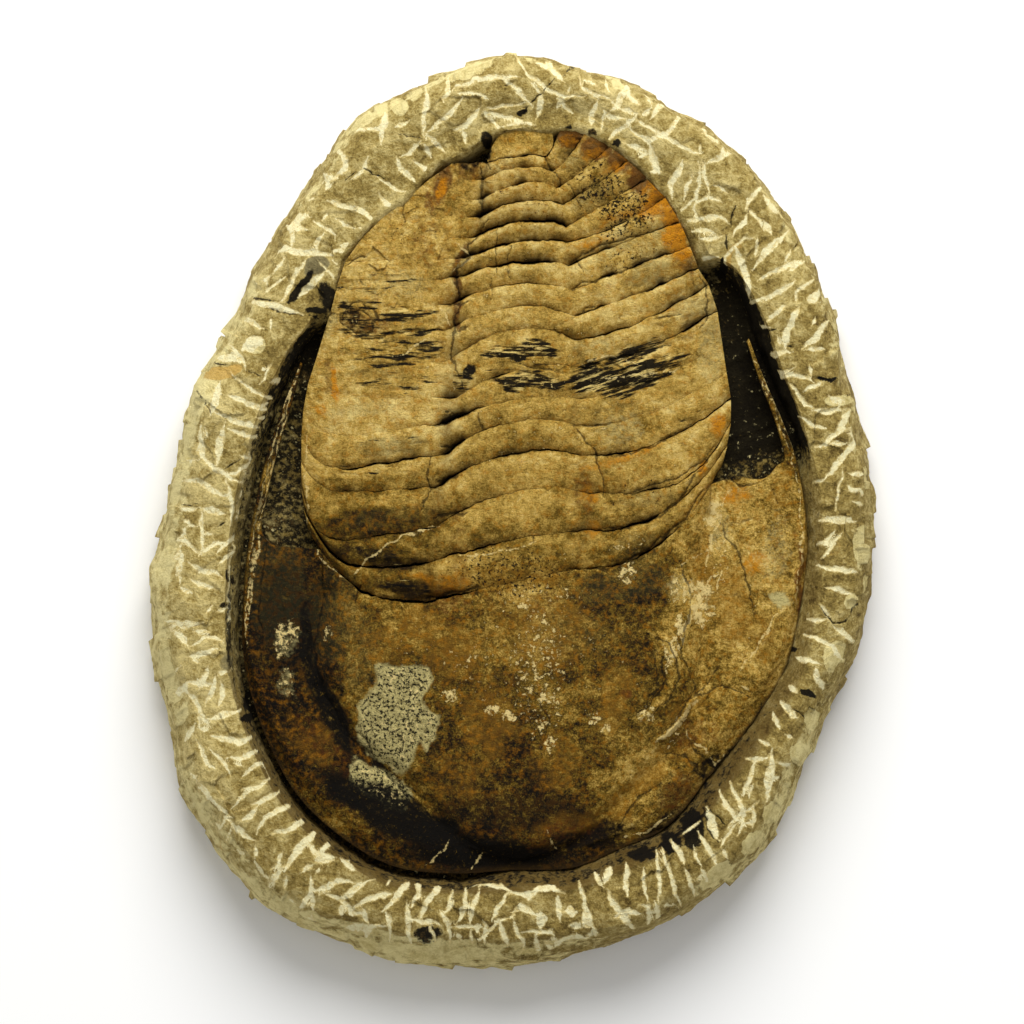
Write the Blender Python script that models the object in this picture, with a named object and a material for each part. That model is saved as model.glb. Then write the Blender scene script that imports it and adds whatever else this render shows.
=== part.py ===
"""A fossil trilobite that lies on its belly in a chiselled slab of mudstone.

The slab rests flat on its back, with the animal facing up: tail towards +Y, head towards -Y.
The origin is the middle of the underside. All tables below are in millimetres, and MM turns
them into Blender's metres.
"""

import math

import bmesh
import bpy
import numpy as np

MM = 0.001

# Driving heights above the surface that the slab lies on
FLOOR_HEIGHT = 20.0
RIM_HEIGHT = 37.0
HEAD_CREST = 39.0
HEAD_BORDER = 30.5
AXIS_CREST = 38.0
AXIS_FURROW = 33.5
THORAX_MARGIN = 28.5
TAIL_MARGIN = 33.0
TAIL_SHIELD_CREST = 36.0

# Relief on top of those heights
RIB_BULGE = 1.4
TAIL_DROP = 1.5
RING_STEP = 2.6
RING_LIP = 1.1
OGIVE_DEPTH = 1.5
OGIVE_WIDTH = 3.0
VAULT_RUN = 16.0
BORDER_ROLL = 3.5
EYE_HEIGHT = 1.8
TAIL_SHIELD_VAULT = 3.0

# Clearances between the pieces
SEAT_GAP = 0.3
CREVICE = 0.3

# Facets of each solid
SLAB_SIDES = 96
PLEURA_SPANS = 9
AXIS_SPANS = 8
SEGMENT_ROWS = (0.0, 0.14, 0.6, 1.0)
HEAD_SPANS = 60
HEAD_ROWS = 11
TAIL_SPANS = 8
TAIL_ROWS = 4

# Widest outline of the slab, seen from above, anticlockwise from the right
SLAB_OUTLINE = (
    (121.5, -8), (119, 20), (112, 46), (107.5, 66), (97.5, 89), (84.5, 109.5), (69, 126),
    (54.5, 134), (43, 142), (22, 149), (-2, 153), (-23, 146.5), (-41, 138), (-54, 130),
    (-67, 112), (-84, 86), (-94.5, 62.5), (-107.5, 39), (-111, 22), (-118, -6), (-121.5, -30),
    (-119, -54), (-114, -76), (-111.5, -93), (-103, -107), (-92, -123), (-75.5, -136.5),
    (-51, -146), (-31, -151.5), (-9, -153), (10, -151), (41, -142), (64, -129.5),
    (84.5, -113), (95.5, -91.5), (104.5, -70), (114.5, -49), (120, -27),
)

# Foot of the wall round the hollow, anticlockwise from the right
HOLLOW_FOOT = (
    (100.2, -2), (99.2, 8), (97.2, 18), (93.5, 30), (88.5, 40.5), (83.5, 52), (80, 62), (76.5, 71),
    (72, 79), (67, 82.5), (63.8, 84), (61.4, 91), (58, 98.5), (53.2, 105.8), (47.2, 112.6),
    (41, 119), (34, 124.2), (27, 128), (20, 129.8), (13, 129.5), (0, 129.5), (-8, 127.5),
    (-16, 122), (-23, 119), (-29, 114.5), (-36, 106.5), (-45, 100.5), (-52.5, 93.5), (-58, 85.5),
    (-60.5, 76), (-62.5, 67), (-66.5, 59), (-71, 52), (-77, 38), (-82, 24), (-86.5, 8),
    (-89.5, -8), (-91.3, -26), (-91.5, -43), (-89.5, -59), (-83.2, -77.5), (-73, -95.8),
    (-58, -110), (-40.5, -119.8), (-20, -122.5), (0, -121.4), (20.5, -120.6), (37, -114),
    (53.5, -106.4), (67.8, -89.3), (82, -71), (93, -52.5), (98, -32), (100.6, -14),
)

# How far the wall leans back over its height: wide where the hollow is an open trench,
# steep where the ribs run up to the rim. Each entry is a compass angle and a width.
WALL_RUN = (
    (0, 2.5), (15, 2.5), (35, 5), (48, 3), (60, 1.2), (90, 1.5), (125, 1.2), (138, 3),
    (155, 5), (180, 4.5), (215, 3.5), (270, 4), (310, 4), (340, 3), (360, 2.5),
)

# Height of the rim at the top of that wall, less RIM_HEIGHT, by compass angle
WALL_TOP = ((0, -0.8), (50, -1.5), (90, -2.5), (120, -2), (150, -0.8), (270, -0.8), (360, -0.8))

# How far the foot of the slab stands out past the rim's top edge, by compass angle
SIDE_FLARE = (
    (0, 5), (30, 3.5), (60, 2.5), (95, 3), (130, 6), (160, 3.5), (185, 7), (215, 7),
    (245, 6), (265, 9), (285, 4), (315, 6), (340, 4.5), (360, 5),
)

# Edges between the body rings, from the tail shield to the head. Left rib: tip x, tip y,
# sag, and the power of its sweep. Axis: left furrow x, y, crown y, right furrow x, y.
# Right rib: the power of its sweep, tip x, tip y.
RING_EDGES = (
    ((-20, 116.5, 0, 1), (-8.5, 116, 118.3, 11, 118), (1.4, 16, 127.3)),
    ((-28, 110.5, 0, 1), (-9.5, 110.5, 114.5, 13, 114), (1.6, 24.5, 126.5)),
    ((-35, 104, 0, 1), (-10, 104, 109.4, 15, 108), (1.15, 32.5, 122)),
    ((-43, 98, 0, 1), (-10.5, 98.5, 103.2, 17, 103), (1.15, 38.8, 117)),
    ((-50, 91, 0, 1), (-13, 91.3, 96.5, 18, 95.5), (1.05, 45, 110.7)),
    ((-55.5, 83.5, -1, 2), (-15.5, 84.5, 89.7, 18, 90), (1.4, 51, 104.5)),
    ((-58, 76, -2, 2), (-18.5, 78, 82.6, 19, 82), (0.9, 56, 96.8)),
    ((-60, 68, -3, 3), (-19.5, 69.3, 75.6, 20, 74), (1.0, 59.3, 88.7)),
    ((-62.3, 60.5, -3, 3), (-20.5, 61, 68, 20.5, 65.5), (1.15, 62, 81)),
    ((-65.3, 51.5, -2, 4), (-20.5, 50.5, 60.5, 21, 57.5), (1.6, 65.5, 76)),
    ((-68, 43, 0, 5), (-18.5, 38, 47, 22, 48), (1.5, 68.5, 67)),
    ((-69.6, 34, -6, 9), (-22.5, 29.5, 37, 22, 38), (1.8, 70, 57)),
    ((-70.2, 25.5, -7.5, 10), (-22, 19.5, 30, 21.5, 28.5), (2.0, 71.5, 47)),
    ((-70.3, 17, -3.3, 8), (-25, 8.5, 19, 22.5, 18.5), (2.2, 73, 38)),
    ((-70.2, 9, -7, 11), (-25.5, -5, 6.5, 25, 6.3), (4.2, 73, 30)),
    ((-69.6, 2, -4, 4.8), (-28, -17.3, -9.5, 26, -6), (2.5, 71.8, 22.5)),
    ((-68.2, -5, 0, 3.2), (-27, -30, -24, 21, -19), (2.55, 70.2, 15.5)),
)

# Outer edge of the head plate, from the tip of the left spine to the tip of the right one
HEAD_OUTER = (
    (-70.5, 50), (-76.5, 35), (-82, 18), (-85.8, 2), (-88.4, -14), (-89.8, -30), (-89.9, -44),
    (-87.8, -58), (-81.7, -76), (-71.7, -94.3), (-57, -108.3), (-40, -118), (-20, -120.6),
    (0, -119.5), (20, -118.7), (36, -112.3), (52, -104.7), (66, -88), (80.3, -70), (91.2, -52),
    (96.2, -32), (98.7, -13), (98.3, -2), (97, 8), (94.5, 19), (90, 31), (84, 45), (79, 58),
)

# Inner edge of the spines and the back of the cheeks, from each spine's tip to the body
LEFT_CHEEK_BACK = (
    (-70, 49.5), (-74.2, 34), (-79.2, 17), (-82.3, 3), (-83.6, -6), (-80, -10.8), (-74, -11.6),
    (-67.6, -12.2),
)
RIGHT_CHEEK_BACK = (
    (71.6, 11), (75, 12.2), (80, 11), (85, 11.6), (88.5, 15.5), (91, 18.3), (88, 30), (82.6, 44),
    (78.4, 57),
)

# Ogive furrow that bounds the raised middle of the head, left to right
HEAD_OGIVE = (
    (-63, -27), (-66, -46), (-62, -62), (-53, -76), (-45, -83), (-35, -90), (-25, -102),
    (-12, -113), (0, -116.5), (14, -114), (30, -103), (44, -88), (55, -78), (62, -60),
    (64, -40), (62, -20), (66, -2),
)

# Low mound of the right eye
EYE_MIDDLE = (45.0, -55.0)
EYE_RADII = (9.0, 15.0)

# Free edge of the tail shield, left to right
TAIL_OUTLINE = (
    (-8.2, 117), (-6.5, 122), (-3, 126.2), (3, 127.7), (9, 127.9), (13, 126.6), (13.6, 122), (11.5, 118.8),
)

# Share of a ring's half width, in its own measure, that is axis
AXIS_SHARE = 0.30

# Stretch of the last ring edge that the head plate meets, as a share of each half width
HEAD_MEETS_RING = (-0.93, 0.95)

CURVE_STEPS = 24


def new_collection(name):
    """Makes a collection and links it to the scene."""
    collection = bpy.data.collections.new(name)
    bpy.context.scene.collection.children.link(collection)
    return collection


def stone_material(name, colour, roughness):
    """A plain dielectric stone of one colour."""
    material = bpy.data.materials.new(name)
    material.use_nodes = True
    shader = material.node_tree.nodes["Principled BSDF"]
    shader.inputs["Base Color"].default_value = (*colour, 1)
    shader.inputs["Roughness"].default_value = roughness
    shader.inputs["Metallic"].default_value = 0
    return material


def spline(points, closed):
    """Catmull-Rom curve through the points, CURVE_STEPS to a span, as an array of x and y."""
    knots = np.array(points, float)
    if closed:
        knots = np.vstack([knots[-1], knots, knots[:2]])
    else:
        knots = np.vstack([2 * knots[0] - knots[1], knots, 2 * knots[-1] - knots[-2]])
    t = np.linspace(0, 1, CURVE_STEPS, endpoint=False)[:, None]
    spans = [
        0.5 * (
            2 * b
            + (c - a) * t
            + (2 * a - 5 * b + 4 * c - d) * t**2
            + (3 * b - a - 3 * c + d) * t**3
        )
        for a, b, c, d in zip(knots[:-3], knots[1:-2], knots[2:-1], knots[3:])
    ]
    curve = np.vstack(spans)
    return curve if closed else np.vstack([curve, knots[-2]])


def along(curve, shares):
    """Points at the given shares of a curve's length."""
    steps = np.hypot(*np.diff(curve, axis=0).T)
    length = np.concatenate([[0], np.cumsum(steps)])
    at = np.asarray(shares) * length[-1]
    return np.column_stack([np.interp(at, length, curve[:, 0]), np.interp(at, length, curve[:, 1])])


def radius_at(points, angles):
    """Distance from the origin to a closed outline, in each compass direction."""
    curve = spline(points, closed=True)
    bearing = np.arctan2(curve[:, 1], curve[:, 0])
    return np.interp(angles, bearing, np.hypot(*curve.T), period=2 * math.pi)


def width_at(table, angles):
    """Reads a table of compass angle and width at each angle."""
    degrees, widths = np.array(table, float).T
    return np.interp(np.degrees(angles) % 360, degrees, widths)


def ring_edge(row, u):
    """Edge between two body rings: x and y for u from -1, the left tip, to 1, the right tip."""
    (tip_x, tip_y, sag, power), (left_x, left_y, crown, right_x, right_y), (sweep, end_x, end_y) = row
    u = np.asarray(u, float)
    left = np.clip((-u - AXIS_SHARE) / (1 - AXIS_SHARE), 0, 1)
    right = np.clip((u - AXIS_SHARE) / (1 - AXIS_SHARE), 0, 1)
    across = np.clip((u / AXIS_SHARE + 1) / 2, 0, 1)
    bow = 1 - np.abs(2 * across - 1) ** 2.4
    x = left_x + (right_x - left_x) * across + (tip_x - left_x) * left + (end_x - right_x) * right
    y = left_y + (right_y - left_y) * across + (crown - (left_y + right_y) / 2) * bow
    y += sag * left + (tip_y - left_y - sag) * left**power
    y += (end_y - right_y) * right**sweep
    return np.column_stack([x, y])


def smooth_step(low, high, value):
    """0 below low, 1 above high, and a smooth rise between."""
    share = np.clip((value - low) / (high - low), 0, 1)
    return share * share * (3 - 2 * share)


def thorax_height(u, v, place):
    """Height of a body ring: a vaulted axis, a furrow each side and ribs that fall to the margin.

    v runs from the ring's free tailward edge, which stands proud, to its tucked headward edge.
    place runs from 0 at the tail, where the ribs lie level with the rim, to 1 at the head.
    """
    across = np.clip(np.abs(u) / AXIS_SHARE, 0, 1)
    out = np.clip((np.abs(u) - AXIS_SHARE) / (1 - AXIS_SHARE), 0, 1)
    margin = TAIL_MARGIN + (THORAX_MARGIN - TAIL_MARGIN) * smooth_step(0.3, 0.75, place)
    axis = (AXIS_CREST - AXIS_FURROW) * (1 - across**2) ** 0.7
    rib = RIB_BULGE * np.sin(math.pi * out**0.7)
    fall = (AXIS_FURROW - margin) * out**2.2
    roll = 0.9 - RING_STEP * v**2 - RING_LIP * (1 - v) ** 12
    return AXIS_FURROW + axis + rib - fall + roll * (1 - 0.45 * out) - TAIL_DROP * (1 - place) ** 2


def distance_to(curve, points):
    """Shortest distance from each point to a curve."""
    gaps = points[:, None, :] - curve[None, :, :]
    return np.sqrt((gaps**2).sum(axis=2).min(axis=1))


def inside_ogive(ogive, points):
    """Whether each point is between the two arms of the ogive furrow."""
    turn = np.argmin(ogive[:, 1])
    left, right = ogive[: turn + 1][::-1], ogive[turn:]
    left_x = np.interp(points[:, 1], np.maximum.accumulate(left[:, 1]), left[:, 0])
    right_x = np.interp(points[:, 1], np.maximum.accumulate(right[:, 1]), right[:, 0])
    return (points[:, 0] > left_x) & (points[:, 0] < right_x) & (points[:, 1] > ogive[turn, 1])


def head_height(points, edge_share):
    """Height of the head plate: a flat border, a furrow along the ogive and a vaulted middle.

    edge_share runs from 0 at the body to 1 at the outer edge.
    """
    ogive = spline(HEAD_OGIVE, closed=False)
    gap = distance_to(ogive, points)
    vault = (HEAD_CREST - HEAD_BORDER) * (1 - np.exp(-gap / VAULT_RUN))
    furrow = OGIVE_DEPTH * np.exp(-((gap / OGIVE_WIDTH) ** 2))
    roll = BORDER_ROLL * smooth_step(0.88, 1, edge_share)
    eye = np.hypot(*((points - EYE_MIDDLE) / EYE_RADII).T)
    mound = EYE_HEIGHT * np.exp(-1.5 * eye**2)
    return HEAD_BORDER + np.where(inside_ogive(ogive, points), vault, 0) - furrow - roll + mound


def solid_on_seat(name, grid_x, grid_y, place_of, collection, material):
    """Closed solid: a sheet of facets shaped by place_of, with walls down to a flat seat.

    place_of takes the sheet's two shares, each from 0 to 1, and gives points in millimetres.
    """
    mesh = bmesh.new()
    bmesh.ops.create_grid(mesh, x_segments=grid_x, y_segments=grid_y, size=0.5)
    mesh.verts.ensure_lookup_table()
    shares = np.array([vertex.co[:2] for vertex in mesh.verts]) + 0.5
    for vertex, point in zip(mesh.verts, place_of(shares[:, 0], shares[:, 1]) * MM):
        vertex.co = point
    walls = bmesh.ops.extrude_face_region(mesh, geom=mesh.faces[:])
    lower = [item for item in walls["geom"] if isinstance(item, bmesh.types.BMVert)]
    seat = (FLOOR_HEIGHT + SEAT_GAP) * MM
    for vertex in lower:
        vertex.co.z = seat
    under = [face for face in mesh.faces if all(vertex.co.z == lower[0].co.z for vertex in face.verts)]
    bmesh.ops.dissolve_faces(mesh, faces=under, use_verts=True)
    bmesh.ops.recalc_face_normals(mesh, faces=mesh.faces[:])
    return add_object(name, mesh, collection, material)


def add_object(name, mesh, collection, material):
    """Puts a finished mesh into the collection as a named object."""
    data = bpy.data.meshes.new(name)
    mesh.to_mesh(data)
    mesh.free()
    data.materials.append(material)
    thing = bpy.data.objects.new(name, data)
    collection.objects.link(thing)
    return thing


def thorax_segment(number, collection, material):
    """One body ring between two neighbouring ring edges, with half a crevice left at each."""
    tailward, headward = RING_EDGES[number - 1], RING_EDGES[number]
    columns = 2 * PLEURA_SPANS + AXIS_SPANS
    rows = len(SEGMENT_ROWS) - 1
    stations = np.concatenate([
        np.linspace(-1, -AXIS_SHARE, PLEURA_SPANS + 1),
        np.linspace(-AXIS_SHARE, AXIS_SHARE, AXIS_SPANS + 1)[1:-1],
        np.linspace(AXIS_SHARE, 1, PLEURA_SPANS + 1),
    ])

    def place_of(across, along_body):
        u = stations[np.round(across * columns).astype(int)]
        v = np.array(SEGMENT_ROWS)[np.round(along_body * rows).astype(int)]
        upper = ring_edge(tailward, u) - (0, CREVICE)
        lower = ring_edge(headward, u) + (0, CREVICE)
        flat = upper + (lower - upper) * v[:, None]
        place = (number - 1 + v) / (len(RING_EDGES) - 1)
        return np.column_stack([flat, thorax_height(u, v, place)])

    name = f"thorax_segment_{number:02d}"
    return solid_on_seat(name, columns, rows, place_of, collection, material)


def head_inner_edge():
    """Spine tip, back of the left cheek, edge of the last ring, back of the right cheek, spine tip."""
    body = ring_edge(RING_EDGES[-1], np.linspace(*HEAD_MEETS_RING, HEAD_SPANS)) - (0, CREVICE)
    left = spline(LEFT_CHEEK_BACK, closed=False)
    right = spline(RIGHT_CHEEK_BACK, closed=False)
    return np.vstack([left, body, right])


def head_shield(collection, material):
    """Head plate: a loft from its inner edge out to its outer edge, spines included."""
    inner = head_inner_edge()
    outer = spline(HEAD_OUTER, closed=False)

    def place_of(across, outward):
        flat = along(inner, across)
        flat = flat + (along(outer, across) - flat) * outward[:, None]
        return np.column_stack([flat, head_height(flat, outward)])

    return solid_on_seat("head_shield", HEAD_SPANS, HEAD_ROWS, place_of, collection, material)


def tail_shield(collection, material):
    """Small rounded last plate, from the first ring edge to its own outline."""
    outline = spline(TAIL_OUTLINE, closed=False)

    def place_of(across, outward):
        base = ring_edge(RING_EDGES[0], (2 * across - 1) * AXIS_SHARE * 0.96) + (0, CREVICE)
        flat = base + (along(outline, across) - base) * outward[:, None]
        crown = (1 - (2 * across - 1) ** 2) * (1 - 0.6 * outward**2)
        height = TAIL_SHIELD_CREST - TAIL_SHIELD_VAULT * (1 - crown)
        return np.column_stack([flat, height])

    return solid_on_seat("tail_shield", TAIL_SPANS, TAIL_ROWS, place_of, collection, material)


def slab_rings():
    """Rings of the slab, from the underside up, over the rim and down to the hollow's floor.

    Each is a radius and a height in every compass direction. Slow waves round the rim and a
    few ledges down the sides stand for the broken stone.
    """
    angles = np.arange(SLAB_SIDES) * 2 * math.pi / SLAB_SIDES
    widest = radius_at(SLAB_OUTLINE, angles)
    foot = radius_at(HOLLOW_FOOT, angles)
    edge = foot + width_at(WALL_RUN, angles)
    flare = width_at(SIDE_FLARE, angles)
    top = widest - flare
    wall_top = RIM_HEIGHT + width_at(WALL_TOP, angles)
    wave = 0.8 * np.sin(5 * angles + 0.4) + 0.5 * np.sin(11 * angles + 2) + 0.3 * np.sin(23 * angles)
    ledge = 0.9 * np.sin(17 * angles + 1) + 0.6 * np.sin(29 * angles)
    level = np.ones(SLAB_SIDES)
    return angles, (
        (widest - 6 - np.abs(ledge), 0 * level),
        (widest - 1.2, 5 + ledge),
        (widest, 13 + wave + ledge),
        (widest - 0.35 * flare + 0.4 * ledge, 24 - ledge),
        (top + 0.8, RIM_HEIGHT - 6 + wave),
        (top - 2.5, RIM_HEIGHT - 1.5 + wave),
        ((edge + top) / 2, RIM_HEIGHT + 1 + wave),
        (edge + 1.2, wall_top + 1.2 + 0.6 * wave),
        (edge, wall_top + 0.6 * wave),
        (foot + 0.35 * (edge - foot), (wall_top + FLOOR_HEIGHT) / 2 + wave),
        (foot, FLOOR_HEIGHT * level),
    )


def matrix_slab(collection, material):
    """The slab: a capped disc whose top face is pulled up, over and in, ring after ring."""
    angles, rings = slab_rings()
    mesh = bmesh.new()
    bmesh.ops.create_circle(mesh, cap_ends=True, segments=SLAB_SIDES, radius=1)
    mesh.faces.ensure_lookup_table()
    cap = mesh.faces[0]

    def shape_ring(face, radius, height):
        for vertex in face.verts:
            bearing = math.atan2(vertex.co.y, vertex.co.x)
            index = round(bearing * SLAB_SIDES / (2 * math.pi)) % SLAB_SIDES
            vertex.co.x = radius[index] * math.cos(angles[index]) * MM
            vertex.co.y = radius[index] * math.sin(angles[index]) * MM
            vertex.co.z = height[index] * MM

    underside = cap
    shape_ring(cap, *rings[0])
    for radius, height in rings[1:]:
        grown = bmesh.ops.extrude_face_region(mesh, geom=[cap])
        if cap is not underside:
            bmesh.ops.delete(mesh, geom=[cap], context="FACES_ONLY")
        cap = next(item for item in grown["geom"] if isinstance(item, bmesh.types.BMFace))
        shape_ring(cap, radius, height)
    bmesh.ops.recalc_face_normals(mesh, faces=mesh.faces[:])
    return add_object("matrix_slab", mesh, collection, material)


def main():
    for thing in list(bpy.data.objects):
        bpy.data.objects.remove(thing, do_unlink=True)
    fossil = new_collection("fossil_holmia_trilobite")
    mudstone = stone_material("olive mudstone", (0.30, 0.25, 0.13), 0.85)
    ring_stone = stone_material("golden tan ring", (0.38, 0.29, 0.12), 0.6)
    head_stone = stone_material("dark olive head", (0.12, 0.085, 0.025), 0.5)
    matrix_slab(fossil, mudstone)
    head_shield(fossil, head_stone)
    for number in range(1, len(RING_EDGES)):
        thorax_segment(number, fossil, ring_stone)
    tail_shield(fossil, ring_stone)


main()
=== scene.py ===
"""Looks of a large fossil trilobite that lies in the chiselled hollow of an egg-shaped mudstone slab.

The file is laid out as an add-on: sizes and colours are properties, each piece or group of like
pieces has an operator, and a panel lists them. Tables are in millimetres, in the frame of the solids:
+Y runs from the middle to the tail, +X to the right seen from above, and z = 0 is the underside.
Every surface is a grid of points worked out with numpy, and its stains, cracks and marks are mesh
attributes that the materials read.
"""

import math
from itertools import product

import bpy
import numpy as np
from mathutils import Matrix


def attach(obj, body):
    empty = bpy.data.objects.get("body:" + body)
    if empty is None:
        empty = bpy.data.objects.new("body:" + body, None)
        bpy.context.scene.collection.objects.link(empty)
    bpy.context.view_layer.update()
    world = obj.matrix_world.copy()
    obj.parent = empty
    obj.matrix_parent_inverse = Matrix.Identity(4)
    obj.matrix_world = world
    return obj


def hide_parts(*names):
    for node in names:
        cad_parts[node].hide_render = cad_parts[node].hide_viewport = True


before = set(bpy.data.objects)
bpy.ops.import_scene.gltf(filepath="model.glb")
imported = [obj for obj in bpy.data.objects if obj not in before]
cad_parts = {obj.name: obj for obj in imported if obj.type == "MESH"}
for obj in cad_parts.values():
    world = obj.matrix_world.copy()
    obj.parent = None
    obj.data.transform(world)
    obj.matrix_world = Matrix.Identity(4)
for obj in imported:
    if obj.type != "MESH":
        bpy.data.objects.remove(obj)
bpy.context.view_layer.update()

bl_info = {
    "name": "Fossil trilobite in a mudstone slab",
    "version": (1, 0, 0),
    "blender": (4, 5, 0),
    "location": "3D View > Sidebar > Fossil",
    "description": "Builds the finished surfaces of a fossil trilobite and the slab that holds it",
    "category": "Object",
}

MM = 0.001

# Heights above the underside, as in the solids
FLOOR_HEIGHT = 20.0
SEAT_HEIGHT = 20.3
RIM_HEIGHT = 37.0
HEAD_CREST = 39.0
HEAD_BORDER = 30.5
AXIS_CREST = 38.0
AXIS_FURROW = 33.5
THORAX_MARGIN = 28.5
TAIL_MARGIN = 35.4
TAIL_SHIELD_CREST = 36.0
RIB_BULGE = 1.4
TAIL_DROP = 1.5
OGIVE_DEPTH = 1.5
OGIVE_WIDTH = 3.0
VAULT_RUN = 16.0
BORDER_ROLL = 3.5
EYE_HEIGHT = 1.8
TAIL_SHIELD_VAULT = 3.0

# Points of each finished surface, rows of the slab's side, rim and wall, and steps of a curve's span
RING_COLUMNS = 360
RING_ROWS = 30
HEAD_COLUMNS = 560
HEAD_ROWS = 160
TAIL_COLUMNS = 90
TAIL_ROWS = 40
SLAB_COLUMNS = 1360
SIDE_ROWS = 9
RIM_ROWS = 44
WALL_ROWS = 13
CURVE_STEPS = 24
OGIVE_THINNING = 4

# Rings of the slab's profile where its rim, its inner lip and its floor start
RIM_RING = 5
LIP_RING = 7
FLOOR_RING = 10

# How far in the rows of the slab's underside and floor lie, as shares of the edge's radius
UNDERSIDE_SHARE = 0.6
FLOOR_SHARES = (0.97, 0.92, 0.85, 0.4)

# Value of every field of stain, painted shade and painted light at the slab's pole underneath and
# at the one on the floor, under the fossil
POLE_VALUES = (0, 1)

# Radius at which the slab's side is unrolled for its chips, in mm, and the most dirt and painted shade in a
# crevice
SLAB_RADIUS = 120
MOST_DIRT_AND_SHADE = 0.92

# Factors that mix the bits of a repeatable draw, and the shift between two octaves of a noise
CELL_FACTORS = (374761393, 668265263, 1274126177)
SEED_FACTOR = 362437
MIX_STEPS = ((13, 1103515245), (16, 22695477))
LAST_SHIFT = 15
LOW_BITS = 0x7FFFFFFF
DRAW_BITS = 0xFFFFF
OCTAVE_SHIFT = 17.3

# Finish: gloss, roughness, depth of the bump in mm, the angle past which an edge is sharp, in
# degrees, and how far a line may reach past the inside that is stored for it, in mm
STONE_GLOSS = 0.12
STONE_ROUGHNESS = 0.88
SHELL_ROUGHNESS = (0.6, 0.8)
FLOOR_ROUGHNESS = 0.9
BUMP_DEPTH = 0.8
SHARP_ANGLE = 60
LINE_SLACK = 0.4

# Key light and depth of view in metres, and the width of the camera's sensor in mm
KEY_LIGHT_PLACE = (0.1, 1.45, 1.35)
KEY_LIGHT_WIDTH = 1.5
VIEW_DEPTH = 100
SENSOR_WIDTH = 36

# Widest outline of the slab, seen from above, anticlockwise from the right
SLAB_OUTLINE = (
    (121.5, -8), (119, 20), (112, 46), (107.5, 66), (97.5, 89), (84.5, 109.5), (69, 126),
    (54.5, 134), (43, 142), (22, 149), (-2, 153), (-23, 146.5), (-41, 138), (-54, 130),
    (-67, 112), (-84, 86), (-94.5, 62.5), (-107.5, 39), (-111, 22), (-118, -6), (-121.5, -30),
    (-119, -54), (-114, -76), (-111.5, -93), (-103, -107), (-92, -123), (-75.5, -136.5),
    (-51, -146), (-31, -151.5), (-9, -153), (10, -151), (41, -142), (64, -129.5),
    (84.5, -113), (95.5, -91.5), (104.5, -70), (114.5, -49), (120, -27),
)

# Foot of the wall round the hollow, anticlockwise from the right
HOLLOW_FOOT = (
    (100.2, -2), (99.2, 8), (97.2, 18), (93.5, 30), (88.5, 40.5), (83.5, 52), (80, 62), (76.5, 71),
    (72, 79), (67, 82.5), (63.8, 84), (61.4, 91), (58, 98.5), (53.2, 105.8), (47.2, 112.6),
    (41, 119), (34, 124.2), (27, 128), (20, 129.8), (13, 129.5), (0, 129.5), (-8, 127.5),
    (-16, 122), (-23, 119), (-29, 114.5), (-36, 106.5), (-45, 100.5), (-52.5, 93.5), (-58, 85.5),
    (-60.5, 76), (-62.5, 67), (-66.5, 59), (-71, 52), (-77, 38), (-82, 24), (-86.5, 8),
    (-89.5, -8), (-91.3, -26), (-91.5, -43), (-89.5, -59), (-83.2, -77.5), (-73, -95.8),
    (-58, -110), (-40.5, -119.8), (-20, -122.5), (0, -121.4), (20.5, -120.6), (37, -114),
    (53.5, -106.4), (67.8, -89.3), (82, -71), (93, -52.5), (98, -32), (100.6, -14),
)

# Compass angle and width of the wall's lean, of the rim's inner lip below RIM_HEIGHT, and of the
# slab's foot past its top edge
WALL_RUN = (
    (0, 2.5), (15, 2.5), (35, 5), (48, 3), (60, 1.2), (90, 1.5), (125, 1.2), (138, 3),
    (155, 5), (180, 4.5), (215, 3.5), (270, 4), (310, 4), (340, 3), (360, 2.5),
)
WALL_TOP = ((0, -0.8), (50, -1.5), (90, -2.3), (120, -2.3), (150, -0.8), (270, -0.8), (360, -0.8))
SIDE_FLARE = (
    (0, 5), (30, 3.5), (60, 2.5), (95, 3), (130, 6), (160, 3.5), (185, 7), (215, 7),
    (245, 6), (265, 9), (285, 4), (315, 6), (340, 4.5), (360, 5),
)

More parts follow.
